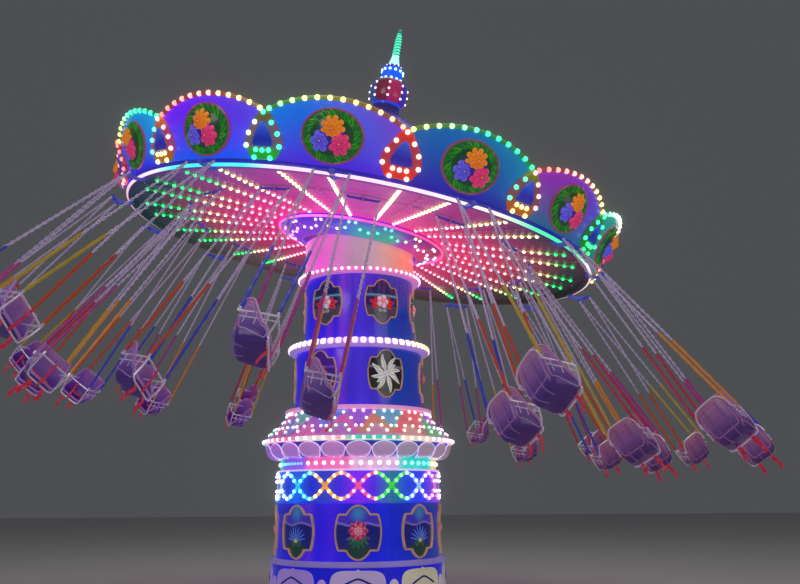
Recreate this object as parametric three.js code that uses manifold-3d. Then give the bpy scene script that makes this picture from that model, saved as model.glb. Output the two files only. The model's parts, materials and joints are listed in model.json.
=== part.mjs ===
// Chair swing ride: a round base, a telescoping tower, a leaning crown that spins, and 28 chairs on chains.
// Millimetres, +Z up. The origin is the centre of the base plate, on the ground.
// The ride is drawn in motion: tower raised, crown leaning, chairs flung outwards.
import * as THREE from 'three';
import { mergeVertices } from 'three/addons/utils/BufferGeometryUtils.js';
import Module from 'manifold-3d';

const wasm = await Module();
wasm.setup();

const degree = Math.PI / 180;
const gap = 0.3; // between pieces that rest on each other

// Base, from the ground up. Heights are the tops of the rings.
const baseSides = 24;
const drumRadius = 1350;
const wall = 70;
const skirtHeight = 720;
const skirtFoot = 1460;
const skirtTop = 1405;
const baseRingHeight = 806;
const baseRingRadius = 1450;
const drumHeight = 1660;
const loopBandHeight = 2183;
const ledBandHeight = 2367;
const ledBandRadius = 1310;
const coveHeight = 2600;
const coveBowl = [[1430, 2385], [1505, 2440], [1542, 2515]]; // radius and height of its rounded wall
const coveTopRadius = 1552;
const brimHeight = 2680;
const brimRadius = 1605;
const corniceHollow = [[1450, 2815], [1300, 2945], [1240, 3030]]; // radius and height of its hollow slope
const corniceHeight = 3105;
const corniceTopRadius = 1215;
const lipHeight = 3185;
const lipRadius = 1260;
const lipRounding = 25;
const plateThickness = 50;

// Tower: two decorated tiers that telescope into the base.
const towerSides = 24;
const lowerTierRadius = 1090;
const lowerTierFoot = 2950;
const lowerRingFoot = 4125;
const lowerRingTop = 4276;
const lowerRingRadius = 1215;
const lowerRingBulge = 45;
const upperTierRadius = 945;
const upperTierFoot = 4000;
const upperRingFoot = 5400;
const upperRingTop = 5495;
const upperRingRadius = 1065;
const upperRingBulge = 30;
const tierWall = 60;

// Lamp drum and tilt bearing on top of the tower.
const lampDrumRadius = 960;
const lampDrumTop = 6130;
const lampDrumFloor = 40;
const yokeWidth = 420;
const yokeFoot = 60;
const lugInside = 260;
const lugThickness = 80;
const lugHalfWidth = 110;
const lugRise = 120;
const pinRadius = 60;
const pinClearance = 1.6;
const pinReach = 380;
const blockHalf = 150;
const bearingRadius = 500;
const bearingFoot = 180;
const bearingTop = 240;

// Crown: leans 10.4 degrees towards the bearing leanBearing, about a pivot on the tower axis.
const pivotHeight = 6080;
const leanAngle = 10.4 * degree;
const leanBearing = -16.5 * degree;
const bays = 14; // fascia panels, and hangers in each circle
const hubSides = 28;
const rimSides = 42;
const hubRadius = 1490;
const hubHeight = 190;
const hubPlateTop = 290;
const hubFootRadius = 1060;
const hubFootHeight = -30;
const shell = 30; // thickness of ceiling and hub shells
const beamInner = 3000;
const beamOuter = 3090;
const beamHeight = 120;
const ceilingAtBeam = 100;
const ceilingAtRim = 55;
const hoopInner = 4000;
const hoopOuter = 4066;
const hoopFoot = -20;
const hoopTop = 90;
const panelAzimuth = -83 * degree; // where two panels meet
const panelLean = 278; // outward lean of a panel over valleyHeight
const panelThickness = 60;
const valleyHeight = 705;
const peakHeight = 945;
const archPower = 0.75; // below 1 the arches are fuller than a sine
const dropletRelief = 60;
const bouquetHeight = 465;
const bouquetDome = [[200, -20], [190, 60], [130, 120]]; // radius and height above the panel
const bouquetRelief = 150;
const roofRadius = 3980;
const roofEave = 420;
const roofTopRadius = 260;
const roofTop = 2600;
const roofThickness = 50;

// Spire pieces along the crown's axis, as heights above the pivot.
const spireSides = 16;
const neckTop = 2790;
const neckRadius = 265;
const neckFlange = 15;
const neckFlangeHeight = 40;
const lanternTop = 3230;
const lanternRadius = 345;
const lanternFootRadius = 275;
const lanternFootHeight = 80;
const lanternTopRadius = 285;
const lanternShoulder = 90;
const turretTop = 3520;
const turretRadius = 205;
const flareTop = 3800;
const flareRadius = 130;
const flareTopRadius = 72;
const flareFootHeight = 30;
const hornTop = 4250;
const hornRadius = 62;
const ballHeight = 4295;
const ballRadius = 50;
const spireTop = 4370;
const tipRounding = 25;

// Chairs: two circles of hangers. Each chair hangs on a bar that turns in its hanger.
const innerAzimuth = -89 * degree; // of the first hanger
const outerAzimuth = -94.6 * degree;
const innerCircle = 3045;
const innerHangerHeight = 45;
const outerCircle = 4320;
const outerHangerHeight = -30;
const innerChain = 3600;
const outerChain = 3380;
const innerThrow = 0.67; // outward pull on a chair, as a share of its weight
const outerThrow = 0.87;
const barRadius = 20;
const barHalf = 260;
const boreRadius = 22.2;
const lugPlate = 30;
const chainRadius = 15;
const chainAtBar = 240;
const seatWidth = 490;
const seatDepth = 420;
const seatDrop = 300; // from the arms down to the seat pan
const backRise = 200; // from the arms up to the top of the back
const sidePanel = 145; // height of the closed part of a seat's side
const seatShell = 35;

const paint = (color, roughness = 0.4, metalness = 0.1) =>
  new THREE.MeshStandardMaterial({ color, roughness, metalness });
const blueGloss = paint(0x1a2bb8, 0.25);
const lilacWhite = paint(0xd9cdf2, 0.45);
const lampWhite = paint(0xf6e6f4, 0.5);
const pinkPanel = paint(0xc77fae, 0.5);
const galvanised = paint(0x9a9ca3, 0.5, 0.8);
const lanternRed = paint(0xb02a4a, 0.4);
const mintGreen = paint(0x6fe0b4, 0.35);
const chairLilac = paint(0xb9a3c9, 0.4);

// Shares the vertices of a closed shape and turns its faces outwards.
function closed(geometry) {
  const bare = geometry.clone();
  bare.deleteAttribute('normal');
  bare.deleteAttribute('uv');
  const merged = mergeVertices(bare, 0.001);
  const place = merged.attributes.position;
  const index = Array.from(merged.index.array);
  const a = new THREE.Vector3();
  const b = new THREE.Vector3();
  const c = new THREE.Vector3();
  const kept = [];
  let volume = 0;
  for (let i = 0; i < index.length; i += 3) {
    const [p, q, r] = index.slice(i, i + 3);
    if (p === q || q === r || r === p) continue;
    kept.push(p, q, r);
    a.fromBufferAttribute(place, p);
    b.fromBufferAttribute(place, q);
    c.fromBufferAttribute(place, r);
    volume += a.dot(b.cross(c));
  }
  merged.setIndex(volume < 0 ? kept.reverse() : kept);
  return merged;
}

function toSolid(geometry) {
  const shape = closed(geometry);
  return new wasm.Manifold(new wasm.Mesh({
    numProp: 3,
    vertProperties: new Float32Array(shape.attributes.position.array),
    triVerts: new Uint32Array(shape.index.array),
  }));
}

function toGeometry(solid) {
  const mesh = solid.getMesh();
  const geometry = new THREE.BufferGeometry();
  geometry.setAttribute('position', new THREE.BufferAttribute(mesh.vertProperties.slice(), 3));
  geometry.setIndex(Array.from(mesh.triVerts));
  return geometry;
}

// A profile of [radius, height] points, turned about Z. It closes on itself unless it meets the axis.
function turned(profile, sides) {
  const points = profile.map(([r, z]) => new THREE.Vector2(r, z));
  const meetsAxis = profile[0][0] === 0;
  if (!meetsAxis) points.push(points[0].clone());
  return closed(new THREE.LatheGeometry(points, sides).rotateX(Math.PI / 2));
}

function box(x0, x1, y0, y1, z0, z1) {
  return new THREE.BoxGeometry(x1 - x0, y1 - y0, z1 - z0)
    .translate((x0 + x1) / 2, (y0 + y1) / 2, (z0 + z1) / 2);
}

// A rod with flat sides between two points.
function rod(from, to, radius, sides) {
  const line = new THREE.Vector3().subVectors(to, from);
  const geometry = new THREE.CylinderGeometry(radius, radius, line.length(), sides);
  const turn = new THREE.Quaternion().setFromUnitVectors(
    new THREE.Vector3(0, 1, 0), line.clone().normalize());
  const middle = new THREE.Vector3().addVectors(from, to).multiplyScalar(0.5);
  return geometry.applyQuaternion(turn).translate(middle.x, middle.y, middle.z);
}

// A flat plate in the radial plane, with a round bore across it.
function boredPlate(outline, boreX, boreZ, radius, thickness, boreSides = 8) {
  const shape = new THREE.Shape(outline.map(([x, z]) => new THREE.Vector2(x, z)));
  const bore = new THREE.Path();
  bore.absarc(boreX, boreZ, radius, 0, 2 * Math.PI, true);
  shape.holes.push(bore);
  return new THREE.ExtrudeGeometry(shape, { depth: thickness, bevelEnabled: false, curveSegments: boreSides / 2 })
    .rotateX(Math.PI / 2)
    .translate(0, thickness / 2, 0);
}

function join(first, others) {
  return others.reduce((sum, shape) => sum.add(toSolid(shape)), toSolid(first));
}

function piece(name, geometry, material) {
  const mesh = new THREE.Mesh(geometry, material);
  mesh.name = name;
  return mesh;
}

function base() {
  const inside = drumRadius - wall;
  const opening = lowerTierRadius + gap;
  const group = new THREE.Group();
  const plate = turned([[0, 0], [inside - gap, 0], [inside - gap, plateThickness], [0, plateThickness]], baseSides);
  const skirt = turned([[inside, 0], [skirtFoot, 0], [skirtFoot - 25, 110], [skirtTop, skirtHeight],
    [inside, skirtHeight]], baseSides);
  const z0 = skirtHeight + gap;
  const ring = turned([[inside, z0], [baseRingRadius - 20, z0], [baseRingRadius, (z0 + baseRingHeight) / 2],
    [baseRingRadius - 20, baseRingHeight], [inside, baseRingHeight]], baseSides);
  const drum = turned([[inside, baseRingHeight + gap], [drumRadius, baseRingHeight + gap],
    [drumRadius, drumHeight], [inside, drumHeight]], baseSides);
  const loops = turned([[inside, drumHeight + gap], [drumRadius + 30, drumHeight + gap],
    [drumRadius + 30, drumHeight + 45], [drumRadius, drumHeight + 50],
    [drumRadius, loopBandHeight], [ledBandRadius - wall, loopBandHeight],
    [ledBandRadius - wall, loopBandHeight - wall]], baseSides);
  const lights = turned([[ledBandRadius - wall, loopBandHeight + gap], [ledBandRadius, loopBandHeight + gap],
    [ledBandRadius, ledBandHeight], [ledBandRadius - wall, ledBandHeight]], baseSides);
  const cove = turned([[ledBandRadius - wall, ledBandHeight + gap], [ledBandRadius + 10, ledBandHeight + gap],
    ...coveBowl, [coveTopRadius, coveHeight], [ledBandRadius - wall, coveHeight]], baseSides);
  const brim = turned([[ledBandRadius - wall, coveHeight + gap], [brimRadius - 15, coveHeight + gap],
    [brimRadius, (coveHeight + brimHeight) / 2], [brimRadius - 15, brimHeight],
    [ledBandRadius - wall, brimHeight]], baseSides);
  const cornice = turned([[opening + 60, brimHeight + gap], [brimRadius - 25, brimHeight + gap],
    ...corniceHollow, [corniceTopRadius, corniceHeight], [opening + 60, corniceHeight]], baseSides);
  const lip = corniceLip(opening);
  group.add(
    piece('base_plate', plate, galvanised),
    piece('base_skirt', skirt, lilacWhite),
    piece('base_ring', ring, lilacWhite),
    piece('base_drum', drum, blueGloss),
    piece('loop_band', loops, blueGloss),
    piece('led_band', lights, lampWhite),
    piece('petal_cove', cove, lilacWhite),
    piece('brim_ring', brim, lampWhite),
    piece('cornice', cornice, blueGloss),
    piece('cornice_lip', lip, lampWhite),
  );
  return group;
}

// The lip guides the lower tier, so its bore has the tier's number of sides.
function corniceLip(opening) {
  const middle = (corniceHeight + gap + lipHeight) / 2;
  return turned([[opening, corniceHeight + gap], [lipRadius - lipRounding, corniceHeight + gap], [lipRadius, middle],
    [lipRadius - lipRounding, lipHeight], [opening, lipHeight]], towerSides);
}

function lowerTower() {
  const group = new THREE.Group();
  const tier = turned([[lowerTierRadius - tierWall, lowerTierFoot], [lowerTierRadius, lowerTierFoot],
    [lowerTierRadius, lowerRingFoot - gap], [lowerTierRadius - tierWall, lowerRingFoot - gap]], towerSides);
  const bore = upperTierRadius + gap;
  const bulge = lowerRingBulge;
  const ring = turned([[bore, lowerRingFoot], [lowerRingRadius - bulge, lowerRingFoot],
    [lowerRingRadius, lowerRingFoot + bulge], [lowerRingRadius, lowerRingTop - bulge],
    [lowerRingRadius - bulge, lowerRingTop], [bore, lowerRingTop]], towerSides);
  group.add(piece('lower_tier', tier, blueGloss), piece('lower_ring', ring, lampWhite));
  return group;
}

function upperTower() {
  const group = new THREE.Group();
  const tier = turned([[upperTierRadius - tierWall, upperTierFoot], [upperTierRadius, upperTierFoot],
    [upperTierRadius, upperRingFoot - gap], [upperTierRadius - tierWall, upperRingFoot - gap]], towerSides);
  const bulge = upperRingBulge;
  const ring = turned([[upperTierRadius - tierWall, upperRingFoot], [upperRingRadius - bulge, upperRingFoot],
    [upperRingRadius, upperRingFoot + bulge], [upperRingRadius, upperRingTop - bulge],
    [upperRingRadius - bulge, upperRingTop], [upperTierRadius - tierWall, upperRingTop]], towerSides);
  group.add(piece('upper_tier', tier, blueGloss), piece('upper_ring', ring, lampWhite));
  return group;
}

// The lamp drum is a cup. It turns on the tower and carries the yoke of the tilt pivot.
function leanDrum() {
  const group = new THREE.Group();
  const foot = upperRingTop + gap;
  const floor = foot + lampDrumFloor;
  const drum = turned([[0, foot], [lampDrumRadius, foot], [lampDrumRadius, lampDrumTop],
    [lampDrumRadius - tierWall, lampDrumTop], [lampDrumRadius - tierWall, floor], [0, floor]], towerSides);
  const yokeBottom = floor + gap;
  const reach = lugInside + lugThickness;
  const plate = box(-yokeWidth / 2, yokeWidth / 2, -reach, reach, yokeBottom, yokeBottom + yokeFoot);
  const top = pivotHeight + lugRise;
  const outline = [[-yokeWidth / 2, yokeBottom + 10], [yokeWidth / 2, yokeBottom + 10],
    [lugHalfWidth, top - 40], [lugHalfWidth - 40, top], [40 - lugHalfWidth, top], [-lugHalfWidth, top - 40]];
  const lug = boredPlate(outline, 0, pivotHeight, pinRadius + pinClearance, lugThickness, 16);
  const shift = lugInside + lugThickness / 2;
  const yoke = join(plate, [lug.clone().translate(0, shift, 0), lug.clone().translate(0, -shift, 0)]);
  const turnedYoke = piece('tilt_yoke', toGeometry(yoke), galvanised);
  turnedYoke.rotation.z = leanBearing;
  group.add(piece('lamp_drum', drum, lampWhite), turnedYoke);
  return group;
}

// The block rocks on its pin and carries the crown's bearing.
function tiltBlock() {
  const pin = rod(new THREE.Vector3(0, -pinReach, 0), new THREE.Vector3(0, pinReach, 0), pinRadius, 16);
  const inside = lugInside - 5;
  const block = box(-blockHalf, blockHalf, -inside, inside, -blockHalf, bearingFoot + 20);
  const bearing = turned([[0, bearingFoot], [bearingRadius, bearingFoot], [bearingRadius, bearingTop],
    [0, bearingTop]], hubSides);
  const group = new THREE.Group();
  group.add(piece('tilt_block', toGeometry(join(block, [pin, bearing])), galvanised));
  group.rotation.z = leanBearing;
  return group;
}

function crownHub() {
  const seat = hubHeight + shell;
  const plate = turned([[0, bearingTop + gap], [hubRadius - 20, bearingTop + gap], [hubRadius - 20, seat + gap],
    [hubRadius + 90, seat + gap], [hubRadius + 90, hubPlateTop], [0, hubPlateTop]], hubSides);
  const band = turned([[hubFootRadius - shell, hubFootHeight], [hubFootRadius, hubFootHeight],
    [hubRadius - 30, hubHeight - 25], [hubRadius - 30, bearingTop],
    [hubRadius - 60, bearingTop], [hubFootRadius - shell, 10]], hubSides);
  const ring = turned([[hubRadius - 30 + gap, hubHeight - 60], [hubRadius + 10, hubHeight - 70],
    [hubRadius + 30, hubHeight - 40], [hubRadius + 10, hubHeight - 4],
    [hubRadius - 30 + gap, hubHeight - 4]], hubSides);
  return [piece('crown_hub', plate, galvanised), piece('hub_band', band, blueGloss),
    piece('hub_ring', ring, lampWhite)];
}

// Both ceilings are shallow cones. A ring beam between them carries the inner hangers.
function crownCeiling() {
  const inner = turned([[hubRadius + 0.5, hubHeight], [beamInner - gap, ceilingAtBeam],
    [beamInner - gap, ceilingAtBeam + shell], [hubRadius + 95, hubHeight + shell],
    [hubRadius + 0.5, hubHeight + shell]], rimSides);
  const outer = turned([[beamOuter + gap, ceilingAtBeam], [hoopInner - gap, ceilingAtRim],
    [hoopInner - gap, ceilingAtRim + shell], [beamOuter + gap, ceilingAtBeam + shell]], rimSides);
  return [piece('ceiling_inner', inner, pinkPanel), piece('ceiling_outer', outer, pinkPanel)];
}

function ringWithHangers(ring, plate, azimuth) {
  const hangers = [];
  for (let k = 0; k < bays; k += 1) {
    hangers.push(plate.clone().rotateZ(azimuth + (k * 2 * Math.PI) / bays));
  }
  return toGeometry(join(ring, hangers));
}

function hangerRings() {
  const beam = turned([[beamInner, ceilingAtBeam], [beamOuter, ceilingAtBeam],
    [beamOuter, ceilingAtBeam + beamHeight], [beamInner, ceilingAtBeam + beamHeight]], rimSides);
  const drop = innerHangerHeight - 40;
  const innerPlate = boredPlate([[innerCircle - 30, drop], [innerCircle + 30, drop],
    [innerCircle + 30, ceilingAtBeam + 15], [innerCircle - 30, ceilingAtBeam + 15]],
  innerCircle, innerHangerHeight, boreRadius, lugPlate);
  const hoop = turned([[hoopInner, hoopFoot], [hoopOuter, hoopFoot], [hoopOuter, hoopTop],
    [hoopInner, hoopTop]], rimSides);
  const end = outerCircle + 40;
  const outerPlate = boredPlate([[hoopInner + 15, hoopFoot + 5], [outerCircle - 40, outerHangerHeight - 40],
    [end, outerHangerHeight - 40], [end, outerHangerHeight + 35], [hoopInner + 30, hoopTop - 5],
    [hoopInner + 15, hoopTop - 5]], outerCircle, outerHangerHeight, boreRadius, lugPlate);
  return [
    piece('ring_beam', ringWithHangers(beam, innerPlate, innerAzimuth), galvanised),
    piece('rim_hoop', ringWithHangers(hoop, outerPlate, outerAzimuth), lampWhite),
  ];
}

// The fascia: a leaning wall whose top edge rises in one arch over each bay,
// with a raised rib where two bays meet and a bouquet in the middle of each.
function fascia() {
  const steps = [0, 0.1, 0.3, 0.5, 0.7, 0.9];
  const columns = [];
  for (let k = 0; k < bays; k += 1) {
    for (const t of steps) {
      const top = valleyHeight + (peakHeight - valleyHeight) * Math.sin(Math.PI * t) ** archPower;
      const rib = t === 0 ? dropletRelief : 0;
      columns.push({ azimuth: panelAzimuth + ((k + t) * 2 * Math.PI) / bays, top, rib });
    }
  }
  const foot = hoopTop + gap;
  const lean = panelLean / valleyHeight;
  const place = [];
  for (const { azimuth, top, rib } of columns) {
    const outside = hoopOuter + 10;
    const corners = [
      [outside - panelThickness, foot],
      [outside + rib / 2, foot],
      [outside + lean * top * 0.5 + rib, top * 0.5],
      [outside + lean * top, top],
      [outside + lean * top - panelThickness, top],
      [outside + lean * top * 0.5 - panelThickness, top * 0.5],
    ];
    for (const [r, z] of corners) place.push(r * Math.cos(azimuth), r * Math.sin(azimuth), z);
  }
  const around = 6;
  const index = [];
  for (let i = 0; i < columns.length; i += 1) {
    const next = (i + 1) % columns.length;
    for (let j = 0; j < around; j += 1) {
      const k = (j + 1) % around;
      const [a, b, c, d] = [i * around + j, next * around + j, next * around + k, i * around + k];
      index.push(a, b, c, a, c, d);
    }
  }
  const geometry = new THREE.BufferGeometry();
  geometry.setAttribute('position', new THREE.Float32BufferAttribute(place, 3));
  geometry.setIndex(index);
  return piece('fascia', toGeometry(join(geometry, bouquets(lean))), blueGloss);
}

// A low dome in the middle of each bay, where the flowers stand out from the panel.
function bouquets(lean) {
  const dome = turned([[0, -20], ...bouquetDome, [0, bouquetRelief]], 8)
    .rotateY(Math.PI / 2 + Math.atan(lean))
    .translate(hoopOuter + 10 + lean * bouquetHeight, 0, bouquetHeight);
  const domes = [];
  for (let k = 0; k < bays; k += 1) {
    domes.push(dome.clone().rotateZ(panelAzimuth + ((k + 0.5) * 2 * Math.PI) / bays));
  }
  return domes;
}

function roof() {
  const foot = ceilingAtRim + shell + 5.5; // just above the ceiling, which slopes under it
  const inside = roofRadius - roofThickness;
  return piece('roof', turned([[0, roofTop - roofThickness], [roofTopRadius - 40, roofTop - roofThickness],
    [inside, roofEave - 30], [inside, foot], [roofRadius, foot], [roofRadius, roofEave],
    [roofTopRadius, roofTop], [0, roofTop]], hubSides), blueGloss);
}

function spire() {
  const neck = turned([[0, roofTop + gap], [neckRadius + neckFlange, roofTop + gap],
    [neckRadius, roofTop + neckFlangeHeight], [neckRadius, neckTop], [0, neckTop]], spireSides);
  const lantern = turned([[0, neckTop + gap], [lanternFootRadius, neckTop + gap],
    [lanternRadius, neckTop + lanternFootHeight], [lanternRadius, lanternTop - lanternShoulder],
    [lanternTopRadius, lanternTop], [0, lanternTop]], spireSides);
  const turret = turned([[0, lanternTop + gap], [turretRadius, lanternTop + gap], [turretRadius, turretTop],
    [0, turretTop]], spireSides);
  const flare = turned([[0, turretTop + gap], [flareRadius - 10, turretTop + gap],
    [flareRadius, turretTop + flareFootHeight], [flareTopRadius, flareTop], [0, flareTop]], spireSides);
  const tip = turned([[0, flareTop + gap], [hornRadius, flareTop + gap], [hornRadius, hornTop],
    [ballRadius, ballHeight], [ballRadius / 2, spireTop - tipRounding], [0, spireTop]], spireSides);
  return [piece('spire_neck', neck, blueGloss), piece('spire_lantern', lantern, lanternRed),
    piece('spire_turret', turret, blueGloss), piece('spire_flare', flare, mintGreen),
    piece('spire_tip', tip, mintGreen)];
}

// One side of the seat: a flat frame with a window between the low side panel and the arm.
function seatSide(arms, bottom) {
  const deep = seatDepth / 2;
  const corners = (y0, y1, z0, z1) => [[y0, z0], [y1, z0], [y1, z1], [y0, z1]].map(
    ([y, z]) => new THREE.Vector2(y, z));
  const shape = new THREE.Shape(corners(-deep, deep, bottom, arms + 15));
  shape.holes.push(new THREE.Path(corners(seatShell - deep, deep - 30, bottom + sidePanel, arms - 15)));
  return new THREE.ExtrudeGeometry(shape, { depth: seatShell, bevelEnabled: false })
    .rotateX(Math.PI / 2)
    .rotateZ(Math.PI / 2);
}

// A chair in its own frame: the bar lies along Y, the way the rider faces, and the chains hang down -Z.
function chairShape(chain) {
  const half = seatWidth / 2;
  const deep = seatDepth / 2;
  const arms = -chain;
  const pan = arms - seatDrop;
  const bottom = pan - seatShell;
  const bar = rod(new THREE.Vector3(0, -barHalf, 0), new THREE.Vector3(0, barHalf, 0), barRadius, 6);
  const within = half - seatShell + 2;
  const back = new THREE.Shape([[-deep, bottom], [deep - 2, bottom], [deep - 2, pan], [seatShell - deep, pan],
    [seatShell - deep, arms + backRise], [-deep, arms + backRise]].map(([y, z]) => new THREE.Vector2(y, z)));
  const bucket = new THREE.ExtrudeGeometry(back, { depth: 2 * within, bevelEnabled: false })
    .rotateX(Math.PI / 2)
    .rotateZ(Math.PI / 2)
    .translate(-within, 0, 0);
  const side = seatSide(arms, bottom);
  const parts = [
    bucket,
    side.clone().translate(within - 2, 0, 0),
    side.clone().translate(-half, 0, 0),
    box(-within, within, deep - 28, deep - 2, arms - 13, arms + 13),
  ];
  for (const across of [-1, 1]) {
    for (const end of [-1, 1]) {
      const top = new THREE.Vector3(0, end * chainAtBar, 0);
      const foot = new THREE.Vector3(across * (half - seatShell / 2), end * (deep - 20), arms);
      parts.push(rod(top, foot, chainRadius, 3));
    }
  }
  return toGeometry(join(bar, parts));
}

// How far a chair is thrown out from the crown's axis, where gravity and the outward pull balance.
function throwAngle(azimuth, pull) {
  return Math.atan2(pull + Math.sin(leanAngle) * Math.cos(azimuth - leanBearing), Math.cos(leanAngle));
}

function chairs(circle, radius, height, chain, pull, firstAzimuth) {
  const shape = chairShape(chain);
  const group = new THREE.Group();
  for (let k = 0; k < bays; k += 1) {
    const azimuth = firstAzimuth + (k * 2 * Math.PI) / bays;
    const hanger = new THREE.Group();
    hanger.position.set(radius * Math.cos(azimuth), radius * Math.sin(azimuth), height);
    hanger.rotation.z = azimuth;
    const chair = piece(`chair_${circle}_${String(k + 1).padStart(2, '0')}`, shape, chairLilac);
    chair.rotation.y = -throwAngle(azimuth, pull);
    hanger.add(chair);
    group.add(hanger);
  }
  return group;
}

function crown() {
  const group = new THREE.Group();
  group.add(
    ...crownHub(),
    ...crownCeiling(),
    ...hangerRings(),
    fascia(),
    roof(),
    ...spire(),
    chairs('inner', innerCircle, innerHangerHeight, innerChain, innerThrow, innerAzimuth),
    chairs('outer', outerCircle, outerHangerHeight, outerChain, outerThrow, outerAzimuth),
  );
  return group;
}

function ride() {
  const group = new THREE.Group();
  const head = new THREE.Group();
  const leaning = new THREE.Vector3(Math.sin(leanAngle) * Math.cos(leanBearing),
    Math.sin(leanAngle) * Math.sin(leanBearing), Math.cos(leanAngle));
  head.position.z = pivotHeight;
  head.quaternion.setFromUnitVectors(new THREE.Vector3(0, 0, 1), leaning);
  head.add(tiltBlock(), crown());
  group.add(base(), lowerTower(), upperTower(), leanDrum(), head);
  return group;
}

export default ride();
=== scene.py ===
# The looks of the chair swing ride: lit base, telescoping tower, leaning crown with its fascia,
# spire, and the chairs on their chains. Metres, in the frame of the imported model.
import json
import bmesh
import bpy
import numpy as np
from mathutils import Matrix, Vector


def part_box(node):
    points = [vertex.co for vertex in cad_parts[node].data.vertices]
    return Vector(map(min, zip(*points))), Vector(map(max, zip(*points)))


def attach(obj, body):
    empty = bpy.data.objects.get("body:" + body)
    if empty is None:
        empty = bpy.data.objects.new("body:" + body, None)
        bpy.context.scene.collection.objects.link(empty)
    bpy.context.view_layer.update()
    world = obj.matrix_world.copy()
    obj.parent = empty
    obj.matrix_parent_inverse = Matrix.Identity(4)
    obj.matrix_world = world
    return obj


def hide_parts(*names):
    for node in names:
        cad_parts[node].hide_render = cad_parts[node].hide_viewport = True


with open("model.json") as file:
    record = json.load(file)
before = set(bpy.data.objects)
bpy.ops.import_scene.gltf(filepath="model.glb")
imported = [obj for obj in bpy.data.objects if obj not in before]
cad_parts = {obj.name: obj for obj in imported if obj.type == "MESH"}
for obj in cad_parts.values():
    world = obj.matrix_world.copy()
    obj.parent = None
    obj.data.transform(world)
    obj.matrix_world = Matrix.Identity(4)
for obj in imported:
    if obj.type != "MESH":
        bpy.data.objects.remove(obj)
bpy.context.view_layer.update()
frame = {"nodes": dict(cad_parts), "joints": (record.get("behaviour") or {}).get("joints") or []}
nodes = frame["nodes"]
turn = 2 * np.pi
degree = np.pi / 180
print("frame loaded:", len(nodes), "solids")


def inScene(name, data):
    made = bpy.data.objects.new(name, data)
    bpy.context.scene.collection.objects.link(made)
    return made


# Camera

viewpoint = dict(place=(0, -14.73, 1.80), yaw=0.049, pitch=0.233, roll=-0.006, lens=38.25, clipEnd=500)


def makeCamera(settings):
    # looks along (sin yaw cos pitch, cos yaw cos pitch, sin pitch) and rolls about that line
    yaw, pitch, roll = (settings[key] for key in ("yaw", "pitch", "roll"))
    ahead = np.array([np.sin(yaw) * np.cos(pitch), np.cos(yaw) * np.cos(pitch), np.sin(pitch)])
    level = np.array([np.cos(yaw), -np.sin(yaw), 0.0])
    upright = np.cross(level, ahead)
    right = level * np.cos(roll) + upright * np.sin(roll)
    up = upright * np.cos(roll) - level * np.sin(roll)
    matrix = np.eye(4)
    matrix[:3] = np.stack([right, up, -ahead, settings["place"]], -1)
    data = bpy.data.cameras.new("camera")
    data.lens = settings["lens"]
    data.clip_end = settings["clipEnd"]
    camera = inScene("camera", data)
    camera.matrix_world = Matrix(matrix.tolist())
    bpy.context.scene.camera = camera


makeCamera(viewpoint)
print("camera placed")


# Colours

def tone(code):
    # a linear colour from its usual six-digit code
    value = np.array([int(code[i:i + 2], 16) for i in (0, 2, 4)]) / 255
    return np.where(value <= 0.04045, value / 12.92, ((value + 0.055) / 1.055) ** 2.4)


def tones(codes):
    return np.array([tone(code) for code in codes.split()])


def mixed(first, second, share):
    share = np.asarray(share, float)[..., None]
    return np.asarray(first) * (1 - share) + np.asarray(second) * share


def ramp(value, start, width):
    # 0 up to start, 1 from start + width on
    return np.clip((value - start) / width, 0, 1)


def around(count):
    return np.arange(count) * turn / count


def roundTheRing(stops, azimuth):
    # colour at an azimuth, read off a closed line of stops: degrees, colour code, degrees, colour code ...
    words = stops.split()
    angles = np.mod(np.array(words[::2], float) * degree, turn)
    colours = tones(" ".join(words[1::2]))
    azimuth = np.mod(azimuth, turn)
    return np.stack([np.interp(azimuth, angles, column, period=turn) for column in colours.T], -1)


# Shapes are (points, quads, colours). Each is closed, and the ends of a grid may meet in a pole.

def gridFaces(rows, columns, wrapRows=False, wrapColumns=False):
    i = np.arange(rows - (not wrapRows))[:, None]
    j = np.arange(columns - (not wrapColumns))[None, :]
    nextI, nextJ = (i + 1) % rows, (j + 1) % columns
    corners = (i * columns + j, nextI * columns + j, nextI * columns + nextJ, i * columns + nextJ)
    return np.stack(np.broadcast_arrays(*corners), -1).reshape(-1, 4)


def asShape(grid, colour=(1, 1, 1), wrapRows=False, wrapColumns=True):
    colours = np.broadcast_to(colour, grid.shape).reshape(-1, 3)
    return grid.reshape(-1, 3), gridFaces(*grid.shape[:2], wrapRows, wrapColumns), colours


def merged(shapes):
    starts = np.cumsum([0] + [len(shape[0]) for shape in shapes[:-1]])
    quads = np.concatenate([shape[1] + start for shape, start in zip(shapes, starts)])
    return np.concatenate([shape[0] for shape in shapes]), quads, np.concatenate([shape[2]
                                                                                  for shape in shapes])


def copies(shape, origins, axes, sizes, colours=(1, 1, 1)):
    # one copy at each origin: point = origin + size * (x, y, z along the copy's three axes)
    points, quads, own = shape
    placed = np.einsum("kij,nj->kni", axes, points) * sizes + origins[:, None, :]
    starts = np.arange(len(origins)) * len(points)
    tint = own * np.broadcast_to(colours, origins.shape)[:, None]
    return placed.reshape(-1, 3), (quads + starts[:, None, None]).reshape(-1, 4), tint.reshape(-1, 3)


def polar(r, azimuth, z):
    return np.stack(np.broadcast_arrays(r * np.cos(azimuth), r * np.sin(azimuth), z), -1)


def turned(profile, colour=(1, 1, 1), sides=192):
    # a profile of (radius, height) turned about Z; it closes on itself unless it starts on the axis
    profile = np.asarray(profile, float)
    if isinstance(colour, str):
        colour = roundTheRing(colour, around(sides))
    return asShape(polar(profile[:, :1], around(sides), profile[:, 1:]), colour, wrapRows=profile[0, 0] > 0)


def arc(centre, radius, start, end, count):
    angle = np.linspace(start, end, count) * degree
    return [(centre[0] + radius * np.cos(a), centre[1] + radius * np.sin(a)) for a in angle]


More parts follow.
